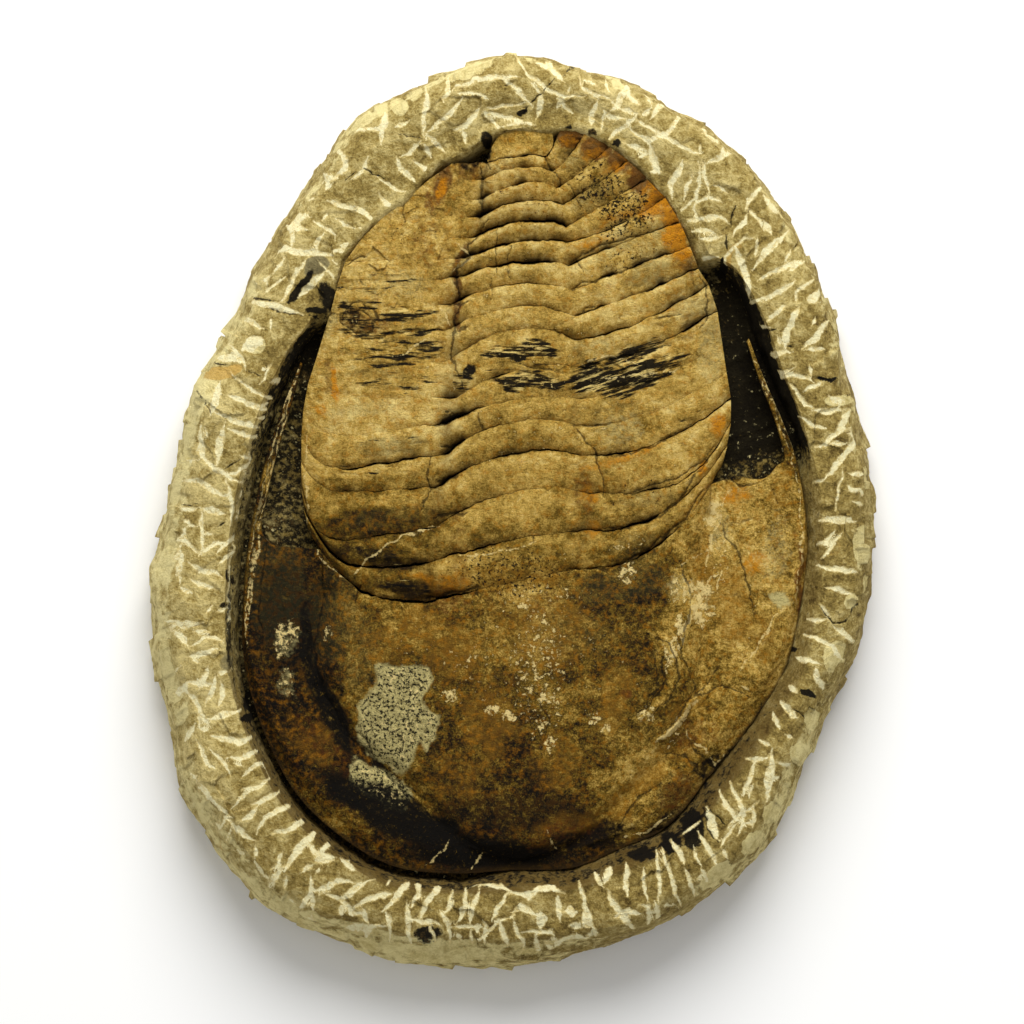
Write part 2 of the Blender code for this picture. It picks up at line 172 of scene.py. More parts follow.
# Edges between the body rings, from the tail shield to the head. Left rib: tip x, tip y,
# sag, and the power of its sweep. Axis: left furrow x, y, crown y, right furrow x, y.
# Right rib: the power of its sweep, tip x, tip y.
RING_EDGES = (
    ((-20, 116.5, 0, 1), (-8.5, 116, 118.3, 11, 118), (1.4, 16, 127.3)),
    ((-28, 110.5, 0, 1), (-9.5, 110.5, 114.5, 13, 114), (1.6, 24.5, 126.5)),
    ((-35, 104, 0, 1), (-10, 104, 109.4, 15, 108), (1.15, 32.5, 122)),
    ((-43, 98, 0, 1), (-10.5, 98.5, 103.2, 17, 103), (1.15, 38.8, 117)),
    ((-50, 91, 0, 1), (-13, 91.3, 96.5, 18, 95.5), (1.05, 45, 110.7)),
    ((-55.5, 83.5, -1, 2), (-15.5, 84.5, 89.7, 18, 90), (1.4, 51, 104.5)),
    ((-58, 76, -2, 2), (-18.5, 78, 82.6, 19, 82), (0.9, 56, 96.8)),
    ((-60, 68, -3, 3), (-19.5, 69.3, 75.6, 20, 74), (1.0, 59.3, 88.7)),
    ((-62.3, 60.5, -3, 3), (-20.5, 61, 68, 20.5, 65.5), (1.15, 62, 81)),
    ((-65.3, 51.5, -2, 4), (-20.5, 50.5, 60.5, 21, 57.5), (1.6, 65.5, 76)),
    ((-68, 43, 0, 5), (-18.5, 38, 47, 22, 48), (1.5, 68.5, 67)),
    ((-69.6, 34, -6, 9), (-22.5, 29.5, 37, 22, 38), (1.8, 70, 57)),
    ((-70.2, 25.5, -7.5, 10), (-22, 19.5, 30, 21.5, 28.5), (2.0, 71.5, 47)),
    ((-70.3, 17, -3.3, 8), (-25, 8.5, 19, 22.5, 18.5), (2.2, 73, 38)),
    ((-70.2, 9, -7, 11), (-25.5, -5, 6.5, 25, 6.3), (4.2, 73, 30)),
    ((-69.6, 2, -4, 4.8), (-28, -17.3, -9.5, 26, -6), (2.5, 71.8, 22.5)),
    ((-68.2, -5, 0, 3.2), (-27, -30, -24, 21, -19), (2.55, 70.2, 15.5)),
)
HEAD_EDGE = len(RING_EDGES) - 1
AXIS_SHARE = 0.30
TAIL_EDGE_SHARE = 0.96
HEAD_MEETS_RING = (-0.93, 0.95)

# How open each ring edge is, from 0, grown shut, to 1, a black crevice: at the left tip, the left
# rib, the left furrow, the crown, the right furrow, the right rib and the right tip
EDGE_STATIONS = (-1, -0.45, -0.26, 0, 0.26, 0.5, 1)
EDGE_OPENNESS = (
    (0, 0.2, 0.55, 0.5, 0.6, 0.9, 0.7),
    (0, 0.1, 0.7, 0.55, 0.4, 0.4, 0.6),
    (0, 0.1, 0.65, 0.55, 0.5, 0.4, 0.6),
    (0, 0.1, 0.7, 0.55, 0.8, 0.4, 0.6),
    (0, 0, 0.9, 1, 0.9, 0.45, 0.6),
    (0.3, 0, 0.9, 0.85, 0.7, 0.4, 0.5),
    (0, 0, 0.9, 0.95, 0.7, 0.5, 0.5),
    (0, 0.1, 0.6, 0.45, 0.45, 0.7, 0.6),
    (0.3, 0.3, 0.45, 0.35, 0.5, 0.6, 0.6),
    (0.1, 0.1, 0.4, 0.3, 0.4, 0.7, 0.7),
    (0.1, 0.1, 0.7, 0.35, 0.3, 0.5, 0.7),
    (0.25, 0.2, 1, 0.25, 0.2, 0.2, 0.1),
    (0.3, 0.8, 0.85, 0.3, 0.2, 0.2, 0.15),
    (0.35, 0.4, 0.85, 0.6, 0.6, 0.6, 0.7),
    (0.6, 0.7, 0.8, 0.25, 0.3, 0.5, 0.8),
    (0.8, 0.9, 0.9, 0.35, 0.4, 0.6, 0.6),
    (0.8, 0.9, 0.9, 0.15, 0.35, 0.8, 0.8),
)

# Head plate: its outer edge, the back of each cheek with the inner edge of its spine, and the
# ogive furrow round its raised middle
HEAD_OUTER = (
    (-70.5, 50), (-76.5, 35), (-82, 18), (-85.8, 2), (-88.4, -14), (-89.8, -30), (-89.9, -44),
    (-87.8, -58), (-81.7, -76), (-71.7, -94.3), (-57, -108.3), (-40, -118), (-20, -120.6),
    (0, -119.5), (20, -118.7), (36, -112.3), (52, -104.7), (66, -88), (80.3, -70), (91.2, -52),
    (96.2, -32), (98.7, -13), (98.3, -2), (97, 8), (94.5, 19), (90, 31), (84, 45), (79, 58),
)
LEFT_CHEEK_BACK = (
    (-70, 49.5), (-74.2, 34), (-79.2, 17), (-82.3, 3), (-83.6, -6), (-80, -10.8), (-74, -11.6),
    (-67.6, -12.2),
)
RIGHT_CHEEK_BACK = (
    (71.6, 11), (75, 12.2), (80, 11), (85, 11.6), (88.5, 15.5), (91, 18.3), (88, 30), (82.6, 44),
    (78.4, 57),
)
HEAD_OGIVE = (
    (-63, -27), (-66, -46), (-62, -62), (-53, -76), (-45, -83), (-35, -90), (-25, -102),
    (-12, -113), (0, -116.5), (14, -114), (30, -103), (44, -88), (55, -78), (62, -60),
    (64, -40), (62, -20), (66, -2),
)
EYE_MIDDLE = (45.0, -55.0)
EYE_RADII = (9.0, 15.0)
TAIL_OUTLINE = (
    (-8.2, 117), (-6.5, 122), (-3, 126.2), (3, 127.7), (9, 127.9), (13, 126.6), (13.6, 122), (11.5, 118.8),
)

# Soft tones painted on the fossil in turn: middle x and y, half width and half height, turn in
# degrees, and a tone from 0, light tan, to 1, near black. The near-black tones along the head's lower
# left and lower border are painted shade as well as dark stain
TONES = (
    (-40, 85, 22, 22, -10, 0.3), (-45, 33, 22, 12, 0, 0.2), (-40, 12, 20, 5, 2, 0.42),
    (-42, -2, 22, 6, 4, 0.7), (-44, -15, 20, 6, -12, 0.74), (-36, -24, 18, 5, -14, 0.8),
    (33, 102, 14, 12, 25, 0.4), (44, 86, 14, 7, 20, 0.4), (0, 20, 18, 26, 0, 0.42), (0, -12, 24, 8, 0, 0.5),
    (48, 18, 20, 12, 20, 0.38), (52, 52, 12, 16, 0, 0.3), (35, -14, 18, 8, 12, 0.5),
    (0, -60, 55, 30, 0, 0.73), (-78, -26, 13, 24, -4, 0.97), (-74, -58, 13, 22, -22, 1),
    (-55, -88, 26, 12, -42, 0.94), (-10, -98, 34, 10, 0, 0.76), (-5, -112, 48, 10, 0, 0.99),
    (18, -104, 20, 7, 22, 0.78), (-52, -45, 9, 18, -6, 0.6), (-58, -22, 10, 9, 0, 0.72),
    (-33, -37, 7, 6, 0, 0.48), (-23, -26, 7, 6, 0, 0.56), (8, -26, 12, 7, 0, 0.46),
    (-10, -40, 12, 12, 0, 0.6), (38, -26, 20, 9, 10, 0.74), (30, -72, 22, 20, 0, 0.64),
    (5, -82, 18, 20, 0, 0.77), (62, -42, 8, 26, 6, 0.5), (70, -74, 12, 12, 30, 0.5),
    (56, -95, 11, 12, -20, 0.55), (82, -26, 15, 34, 6, 0.42), (84, 6, 11, 9, 0, 0.42),
    (90, -52, 7, 12, 20, 0.46), (43, -87, 10, 7, 42, 0.44), (36, -100, 8, 7, 30, 0.5),
    (-70, -76, 5, 9, -30, 0.9), (-60, -60, 4, 20, 22, 0.8), (-79, 26, 4.5, 30, -17, 0.9),
    (88, 36, 4, 26, 18, 0.72), (3, 108, 11, 13, 0, 0.2), (-24, 54, 5, 36, 2, 0.22), (51, 94, 5, 8, 12, 0.2),
    (-46, 3, 22, 8, 4, 0.56), (40, 72, 24, 24, 10, 0.24), (10, 112, 14, 10, 0, 0.25),
    (-46, -6, 22, 5, 4, 0.78), (-74, -46, 14, 40, -4, 0.97), (0, -40, 40, 9, 0, 0.62),
    (8, -92, 10, 18, 10, 0.86), (20, -76, 10, 12, 0, 0.72), (40, -20, 10, 6, 0, 0.6),
)

# Patches on the fossil: middle x and y, half width and half height, turn in degrees, strength
PATCHES = {
    "rust": (
        (19, 125, 4.4, 3.8, 20, 1.2), (28, 122, 4.6, 4.4, 30, 1.3), (36, 118, 5, 4.4, 40, 1.3),
        (43, 112, 4.6, 5.4, 30, 1.5), (50, 105, 5, 4, 40, 0.8), (-23, 110, 3, 8, -8, 0.9),
        (-27, 103, 2, 4, 0, 0.8), (-14, 117, 6, 6, 0, 0.65), (76, 6, 5, 3, 0, 0.4), (58, 84, 4, 5, 0, 0.6),
        (62, -74, 8, 5, 20, 0.45), (18, -108, 14, 4, 12, 0.4), (-64, -76, 10, 5, -40, 0.32),
        (-58, -84, 4, 7, 35, 0.25), (24, 6, 4, 8, 0, 0.5), (-20, -28, 8, 6, 0, 0.45),
        (-18, -12, 3, 14, 0, 0.35), (-62, 46, 2, 8, 8, 0.5), (-16, 87, 1.4, 5, -20, 0.9),
        (-18.5, 77, 1.2, 7, 0, 0.9), (-18, 66, 1.2, 6, 10, 0.9), (-50, 64, 8, 5, 0, 0.55),
        (56, -94, 6, 8, -40, 0.5), (-29, 90, 3, 10, 0, 0.4), (96, -24, 1.4, 18, 2, 0.8),
        (38, -61, 2, 2, 0, 0.9), (4, -30, 20, 6, 0, 0.2),
    ),
    "orange": (
        (19, 123, 3.4, 2.2, 20, 0.5), (27, 119.5, 3.4, 2, 30, 0.5), (34.5, 115, 4, 2, 40, 0.5),
        (46, 107, 4, 3, 40, 0.6), (48, 101, 5, 4, 20, 1.1), (54, 95, 4.5, 7, 10, 1.2),
        (38, 99, 9, 2, 25, 0.5), (57, 88, 3, 4, 0, 0.9), (69, 29, 1.6, 4, 0, 1), (63, 15, 1.4, 2.4, 0, 0.8),
        (-60, 43, 1.2, 6, 8, 0.8), (-64, 34, 1.6, 3, 20, 0.6), (26, -6, 3, 3, 0, 0.5), (26, 5, 3, 3, 0, 0.5),
        (-19, -23, 5, 3, -20, 0.45), (38, 18, 14, 1.5, 18, 0.4), (82, -16, 3, 5, -40, 0.55),
        (26, 90, 8, 2, 15, 0.45), (75, 6, 4, 3, 0, 0.6), (-23, 108, 1.6, 3, 0, 0.8),
        (-28, -22, 6, 2, -10, 0.5),
    ),
    "gold": (
        (74, -30, 6, 14, 10, 0.8), (90, 8, 4, 9, 0, 0.7), (-31, -37, 8, 7, 0, 0.8), (44, -88, 9, 4, 42, 0.95),
        (37, -99, 6, 5, 60, 0.9), (64, -20, 4, 12, 0, 0.7), (-20, -46, 10, 10, 0, 0.75),
        (-42, -44, 8, 8, 0, 0.6), (10, -40, 16, 12, 0, 0.6), (-8, -70, 8, 14, 10, 0.7),
        (14, -84, 8, 10, 0, 0.6), (34, -62, 5, 12, -20, 0.8), (58, -66, 4, 10, -40, 0.6),
        (-66, -76, 10, 8, -30, 0.5), (20, -104, 12, 4, 12, 0.7), (54, -80, 8, 3, -20, 0.8),
        (-18, -88, 8, 8, 0, 0.5), (0, -22, 24, 5, 0, 0.5), (84, -44, 5, 10, 0, 0.55),
        (-27, -24, 5, 5, 0, 0.8), (0, 108, 12, 14, 0, 0.5), (-22, 60, 4, 40, 0, 0.45),
        (56, 70, 6, 20, 0, 0.4), (-40, 34, 20, 6, 0, 0.35), (30, 12, 16, 10, 15, 0.4),
    ),
    "grey": (
        (27, 106, 8, 4, 30, 0.8), (20, 116, 5, 4, 0, 0.7), (45, 80, 9, 4, 20, 0.8), (28, 56, 8, 5, 20, 0.5),
        (40, -12, 10, 5, 10, 0.6), (36, -24, 18, 7, 15, 0.7), (-40, 22, 12, 3, 4, 0.7),
        (43, 4, 13, 4, 10, 0.6), (-40, -2, 18, 3.5, 4, 0.6), (34, 32, 10, 6, 20, 0.5),
        (-78, -24, 10, 20, 0, 0.9), (-60, -36, 10, 16, 0, 0.8), (-52, -45, 8, 16, 0, 0.6),
        (20, -40, 20, 8, 0, 0.5), (-45, 46, 14, 3, 0, 0.5), (40, 90, 14, 5, 20, 0.5),
        (56, -96, 10, 10, 0, 0.5),
    ),
    # Some black patches, along the head's lower border and the ogive furrow at its lower left, are painted
    # shadow as well as black stain
    "black": (
        (-14, 47.5, 2.2, 2.6, 0, 1.1), (-8, 122, 1.8, 4, 0, 1.2), (-14, 117, 4, 4, 0, 0.6),
        (-62, 66, 4, 7, -20, 0.5), (-54, 65, 4, 4, 0, 0.5), (-74, -36, 12, 22, 0, 0.42),
        (-42, -99, 26, 7, -28, 0.85), (-8, -114, 28, 5.5, -4, 0.8), (-61, -66, 3.6, 20, 24, 0.8),
        (24, -110, 20, 4, 18, 0.6), (-26, -106, 10, 5, 0, 0.9), (0, -100, 30, 6, 0, 0.42),
        (50, -104, 9, 3, 40, 0.6), (-68, -42, 2.4, 14, 6, 0.7), (-44, -15, 16, 2.4, -12, 0.55),
        (-36, -25, 12, 2.6, -14, 0.55), (66, -85, 3, 6, -30, 0.6), (74, 12, 4, 2, 0, 0.7),
        (-80, -2, 4, 6, 0, 0.6),
    ),
    "speckle": (
        (38, 102, 10, 6, 24, 1.2), (30, 108, 9, 4, 28, 1.15), (38, 94, 11, 4, 20, 1.1),
        (26, 113, 7, 4, 35, 1), (41, 85, 12, 4, 18, 0.9), (3, 106, 12, 14, 0, 0.75), (0, 84, 16, 12, 0, 0.65),
        (-34, 92, 12, 10, 0, 0.7), (0, -20, 24, 10, 0, 1), (-44, -90, 12, 8, -20, 1.1),
        (46, 6, 22, 10, 10, 0.75), (30, -60, 40, 40, 0, 0.65), (50, -94, 14, 10, 30, 0.8),
    ),
    "pale": (
        (-66, 62, 6, 6, 0, 0.6), (66, 58, 4, 18, 4, 0.6), (-75, -57, 3, 6, 0, 0.5), (64, -28, 3, 6, 12, 0.5),
        (90, -30, 2.2, 2, 0, 1.1), (36, 28, 8, 6, 0, 0.5), (-75, -43, 3.5, 5, -40, 0.5),
        (88, -12, 5, 12, 0, 0.45), (70, -6, 4, 9, -20, 0.5), (60, 66, 6, 5, 0, 0.5),
        (-40, 75, 16, 5, 0, 0.45), (-50, 34, 16, 3, 6, 0.5), (55, -25, 6, 4, 0, 0.5),
    ),
    "crystal": (
        (67, 0, 4, 7, -20, 1.3), (64, -29, 4, 8, 14, 1.2), (70, -16, 4, 10, -14, 0.9),
        (56, 16, 5, 9, -30, 0.6), (38, -11, 7, 3, 0, 0.9), (44, 3, 7, 3, 0, 0.7), (24, 32, 4, 4, 0, 0.6),
        (7, -27, 5, 4, 0, 0.8), (60, -55, 5, 14, 0, 0.4), (14, -68, 6, 16, 0, 0.35), (70, -8, 4, 6, 0, 0.8),
        (0, -48, 50, 24, 0, 0.55), (9, -54, 11, 26, 0, 0.9), (10, -28, 20, 6, 0, 0.75),
        (-75, -56, 3, 8, 10, 0.9), (-75, -43, 2.5, 7, -30, 0.9), (22, 22, 3, 3, 0, 0.6),
        (19, -14, 3, 2, 0, 0.8), (55, -26, 4, 6, 0, 1.1), (38, -22, 4, 2, 0, 0.8), (80, -26, 16, 34, 0, 0.5),
        (-76, -42, 3, 8, -30, 1.15), (53, -47, 2, 7, -8, 1.2), (-14, -50, 8, 8, 0, 0.7),
        (54, -74, 3, 7, -40, 0.9), (0, 50, 60, 50, 0, 0.55), (-20, -61, 3, 2.5, 0, 1.25),
        (-8, -65, 4, 2.5, 10, 1.25), (-2.5, -68, 3, 2.5, 0, 1.35), (12.5, -77, 3.4, 4, 0, 1.1),
        (30, -71.5, 2.5, 2, 0, 1.1), (12.5, -62, 3, 2, 0, 1.2), (4, -30, 3, 2.5, 0, 1.1),
        (38, -21, 4, 3.5, 0, 1.05), (26, -68, 2.5, 2, 0, 1.15), (56, -39, 1.5, 5, 8, 1.4),
        (62, -34, 2, 5, 12, 1.3), (58, -25, 3, 3, 0, 1.25), (45, -67, 3, 2, 30, 1.2),
        (-60, -40, 2, 3, -30, 1.1),
    ),
    "fibre": (
        (-42, 76, 12, 3, 0, 0.6), (-38, 53, 18, 6, 0, 0.85), (-40, 43, 16, 4, 0, 0.7),
        (-60, 76, 8, 4, 0, 0.8), (-44, 62, 16, 6, 0, 0.7), (50, 60, 12, 8, 15, 0.35), (6, 48, 13, 8, 0, 0.55),
        (32, 45, 14, 7, 12, 0.7), (-55, 65, 4, 6, 0, 0.9), (4, 53, 16, 3.2, 4, 1.1),
        (6, 43.5, 14, 3.5, -2, 1.1), (28, 44, 10, 6.5, 10, 1.15), (42, 46, 10, 6.5, 12, 1.15),
        (53, 49, 9, 3.4, 24, 0.95), (36, 39.5, 9, 2.4, 14, 1), (40, 53, 14, 2.4, 16, 1.05),
        (-36, 66.5, 12, 1.7, 2, 1), (-34, 60.5, 13, 1.2, 0, 1), (-16, 44, 4, 5, 0, 1),
        (3, 61, 8, 1.5, 4, 0.6), (-45, 15, 15, 2, 2, 0.6), (-40, 23, 14, 1.5, 2, 0.6),
        (-50, 70, 6, 3, 0, 0.7), (60, 31, 8, 2, 34, 0.5), (-44, -14, 15, 3, -12, 0.7),
        (-36, -25, 12, 3, -14, 0.7), (-45, 77, 12, 1.2, 2, 0.5), (-30, 50, 10, 1.2, -6, 0.6),
    ),
}

# Closed shapes with sharp edges, each a run of corners: the bare speckled patches, and the plates of
# the head's shell that stand a little proud
BARE_SHAPES = (
    (
        -44.3, -50.4, -27.8, -51.7, -26.5, -56.6, -29, -61.4, -22.9, -68.8, -23.5, -76.1, -27.8, -79.8, -30.8,
        -77.3, -32.7, -83.4, -36.3, -88.1, -43.7, -83.4, -49.8, -77.3, -51.6, -71.2, -51, -63.9, -46.1, -57.2,
    ),
    (
        -54.7, -84.7, -51, -81.6, -46.1, -84.7, -40, -87.7, -35.1, -90.8, -32, -96.3, -35.1, -99.9, -42.4,
        -99.3, -48.5, -95.7, -53.4, -89.6,
    ),
    (86, -28, 89, -27, 92, -28, 92.5, -31, 90, -32.5, 87, -31),
)
PLATE_SHAPES = (
    (46, -82, 52, -80.5, 58, -80, 61, -84, 64, -88, 65, -93, 60, -99, 52, -105, 45, -106, 47, -96, 44, -88),
    (60, -62, 70, -58, 80, -62, 81, -69, 74, -79, 67, -86, 62, -80, 58, -72),
    (84, -24, 92, -28, 95, -38, 92, -48, 84, -58, 78, -56, 82, -44, 80, -34),
    (-46, -24, -38, -30, -40, -48, -52, -62, -60, -56, -62, -40, -56, -28),
)
PLATE_LIFT = 0.5
BARE_DEPTH = 0.3

# Narrow ridges of the head: width, then the points that the ridge runs through
RIDGES = (
    (4.5, 44, -40, 50, -42, 54.5, -49, 54, -57, 49, -65, 41, -70),
    (1.6, -38, -89, -30, -97, -22, -105, -12, -113, 0, -116, 12, -113, 24, -106, 34, -99),
    (2.4, 64, -58, 58, -66, 52, -73, 46, -80), (1.4, 10, -116, 24, -111, 38, -105, 50, -98),
    (2, 57, -18, 60, -30, 58, -42), (2, -75, -10, -80, -20, -82, -34), (1.6, 78, -52, 86, -40, 92, -28),
    (1.4, -66, -30, -69, -44, -66, -60, -58, -74),
)
RIDGE_LIFT = 0.9
CRACK_DEPTH = 0.5
VEIN_LIFT = 0.12

# Where the shell is broken into small flakes
FLAKY = (
    (-36, 92, 22, 18, 20, 1), (-48, 68, 14, 8, 0, 0.7), (-14, 116, 8, 8, 0, 1), (36, 46, 20, 8, 14, 0.8),
    (6, 48, 14, 8, 0, 0.8), (66, -70, 16, 16, 0, 0.7), (76, -20, 12, 24, 0, 0.6), (-38, -68, 16, 18, 0, 0.6),
    (60, 66, 8, 20, 0, 0.5), (-68, -40, 16, 26, 0, 0.4),
)

# Lines on the fossil: width, then the points that the line runs through
CRACKS = (
    (0.9, 43, -40.5, 47, -41.2, 51.5, -44, 54.6, -49, 55.2, -55, 52.5, -62, 46.5, -68.5),
    (0.8, 44, -43.7, 47.7, -47.5, 48.6, -53, 47.6, -59, 44.5, -63.5, 41, -66.2),
    (
        1, -8.3, 97.8, -11, 92, -14.5, 88.5, -14, 85.5, -18.5, 81, -18.3, 74.4, -17.2, 69, -19.4, 63.3, -20,
        56, -19, 48, -16, 42,
    ),
    (1.1, -57, 64, -55.5, 68, -51, 69.8, -46, 68, -44.5, 64.5, -47, 61, -52, 60, -56, 61.5, -57.5, 65),
    (0.8, -53, 66, -49, 67, -47, 64.5),
    (1.4, -64, -64, -52, -77, -42, -87, -32, -97, -22, -105, -11, -112.5, 0, -116.5, 12, -115),
    (0.8, -60, 70, -62, 74, -66, 77), (0.9, -52, -72, -46, -82, -38, -89, -30, -95),
    (0.8, 61, -58, 57, -66, 50, -74), (0.7, 70, -50, 66, -56, 60, -62),
    (0.7, -74.5, 37, -78.3, 24, -81.5, 11, -84, -2), (0.5, -77, 34, -80.5, 21, -83.5, 8, -85.5, -4, -87, -18),
    (0.6, 86, 38, 90.5, 27, 93, 18), (0.7, 21, 28, 24, 25, 27, 20, 30, 12, 30, 5), (0.5, -5, 95, -5, 80),
    (0.5, -1, 88, -1, 77), (0.5, -7, 77, -7, 73), (0.8, -27, 18, -28, 7, -31, 0), (0.9, -11, 32, -10, 27),
    (0.5, 7, -8, 7, -10), (0.8, 61, 80, 64, 75, 65.5, 70, 65, 65, 62, 61), (0.6, -55, 82, -47, 86),
    (0.6, -23, 60, -28, 60.5, -40, 59, -50, 58, -58, 60), (0.9, 47, 64.5, 52, 65, 56, 66),
    (1, 22, 85, 23, 80), (0.8, -50, -25, -52, -29), (0.7, -12, -25, -11, -28), (0.6, 86, 8, 88, 3),
    (0.7, 20, 28, 33, 29), (0.7, 32, 18, 45, 21, 60, 30), (0.6, 38, 6, 55, 11, 68, 22),
    (0.9, 28, -6, 40, -5, 50, -1, 57, 5, 62, 14, 67, 22),
    (0.9, 20, -19, 30, -19, 40, -16, 50, -9, 57, -3, 61, 4, 66, 10), (0.7, 20, 74, 30, 78, 40, 80.5),
    (0.5, 20, 64, 28, 69), (0.7, 20, 84, 30, 89, 45, 93), (0.7, 11, 118, 12.5, 114, 16, 110.5, 16.5, 109),
    (0.6, 18.6, 109, 22, 105, 23, 101), (0.8, -10, 118, -8, 114), (0.8, -10, 110, -10, 98),
    (0.7, 3, 49, 18, 46), (0.9, 30, 50, 52, 56),
    (1.5, 83.7, -63.8, 80.7, -71.1, 73.3, -82.1, 65.4, -90.7, 61.7, -95.6),
    (1.1, 53.8, -79.7, 58.7, -81.5, 62.3, -85.8, 64.2, -89.5),
    (0.9, 46, -44, 50, -48, 51, -56, 46, -64, 40, -68),
    (0.8, -11, 114.4, -9.4, 107.8, -10.5, 103.3, -8.3, 97.8),
    (1.1, 50, -81, 58, -80, 60, -84, 64, -88, 66, -92), (0.8, 45, -107, 52, -105, 60, -99, 65, -93),
    (0.7, 58, -72, 62, -80, 67, -86, 74, -79, 81, -69), (0.9, 55, -65, 60, -62, 70, -58, 80, -62),
    (0.8, 68, -2, 74, -12, 78, -22, 80, -34), (0.7, 57, -18, 60, -28, 58, -38, 56, -46, 62, -58),
    (1, -63, -27, -66, -46, -63, -60, -54, -74), (0.7, -82, -10, -84, -26, -83, -44),
    (0.6, 70, 12, 76, 8, 82, 9), (0.5, 10, -80, 12, -70, 8, -60), (0.8, 34, -108, 38, -100, 42, -95, 50, -90),
    (0.6, -22, 33, -17, 32, -12, 33), (1.6, -25, 29, -16, 33), (1.2, -24, 21, -18, 22),
    (1.4, -25, 10, -17, 12), (1.3, -26, -2, -16, 0), (1.4, -28, -29, -20, -27, -12, -25),
    (0.9, -21, 68, -14, 70), (0.9, -19, 78, -13, 80), (0.9, -19, 60, -14, 62),
)
VEINS = (
    (0.6, 50, -45, 51.6, -49, 51.8, -54), (0.9, 62, -63, 57.5, -68, 53, -73.5, 50, -76),
    (0.7, 56.5, -33, 55.8, -39, 57, -44), (0.9, -71, 47, -75.3, 33, -79, 19, -82, 6, -84.6, -6),
    (0.7, -73, 44, -77.5, 30, -81.5, 16, -84.3, 3, -86.5, -10, -88, -24),
    (0.8, 79, 55, 84.5, 43.5, 90, 31, 94, 20), (0.5, 83, 44, 88, 32.5, 91.5, 22),
    (0.6, -86, -12, -88, -28, -88.5, -44), (0.5, -83, -2, -85, -12, -86, -22),
    (1.1, -24, -4, -33, -7, -38, -9, -45, -13, -50, -18, -55, -22),
    (0.7, -17, -14.5, -5, -14, 3, -11, 10, -9), (1, -38, 52, -34, 54, -29, 57, -27, 58.5),
    (0.7, -61, 80, -57, 75), (0.7, -18, 89, -14, 85, -20, 80), (0.5, -23, 68, -22, 64, -21, 62),
    (0.7, 57, -38, 59, -33), (0.8, 90, -31, 84, -41, 76, -53),
    (0.7, 58, -73, 63.5, -78.5, 67, -84.5, 71, -81), (0.8, 24, 49, 34, 52, 42, 50),
    (0.7, 30, 45, 44, 46, 56, 47), (0.6, 58, -38, 56, -45), (0.7, 75, -57, 80, -60),
    (0.9, 72, 8, 70, 0, 66, -10, 64, -20), (0.6, 56, -18, 66, -12), (0.5, 12, -106, 13, -110, 15, -113),
    (1.2, -28.5, -117.5, -25, -115, -22, -111.5, -21, -110), (1.6, 61, -63.8, 53.8, -71, 47.7, -78.4),
    (0.8, 58.7, -34.4, 56.8, -43.6), (0.7, 36.7, -107.8, 45.2, -106.6, 53.8, -100.5),
    (0.8, 60, -22, 62, -30, 58, -38), (1.2, 66, -22, 63, -28, 61, -35), (0.9, 70, -20, 68, -26),
    (1.1, -13, -119, -12, -116.5, -10.5, -114.3), (0.5, -68, 25, -69, 10, -68, -8, -62, -18, -55, -23),
    (0.5, -84, -5, -86.5, -20, -87, -38), (0.6, 93, 20, 96, 2, 97, -12, 94, -34),
)

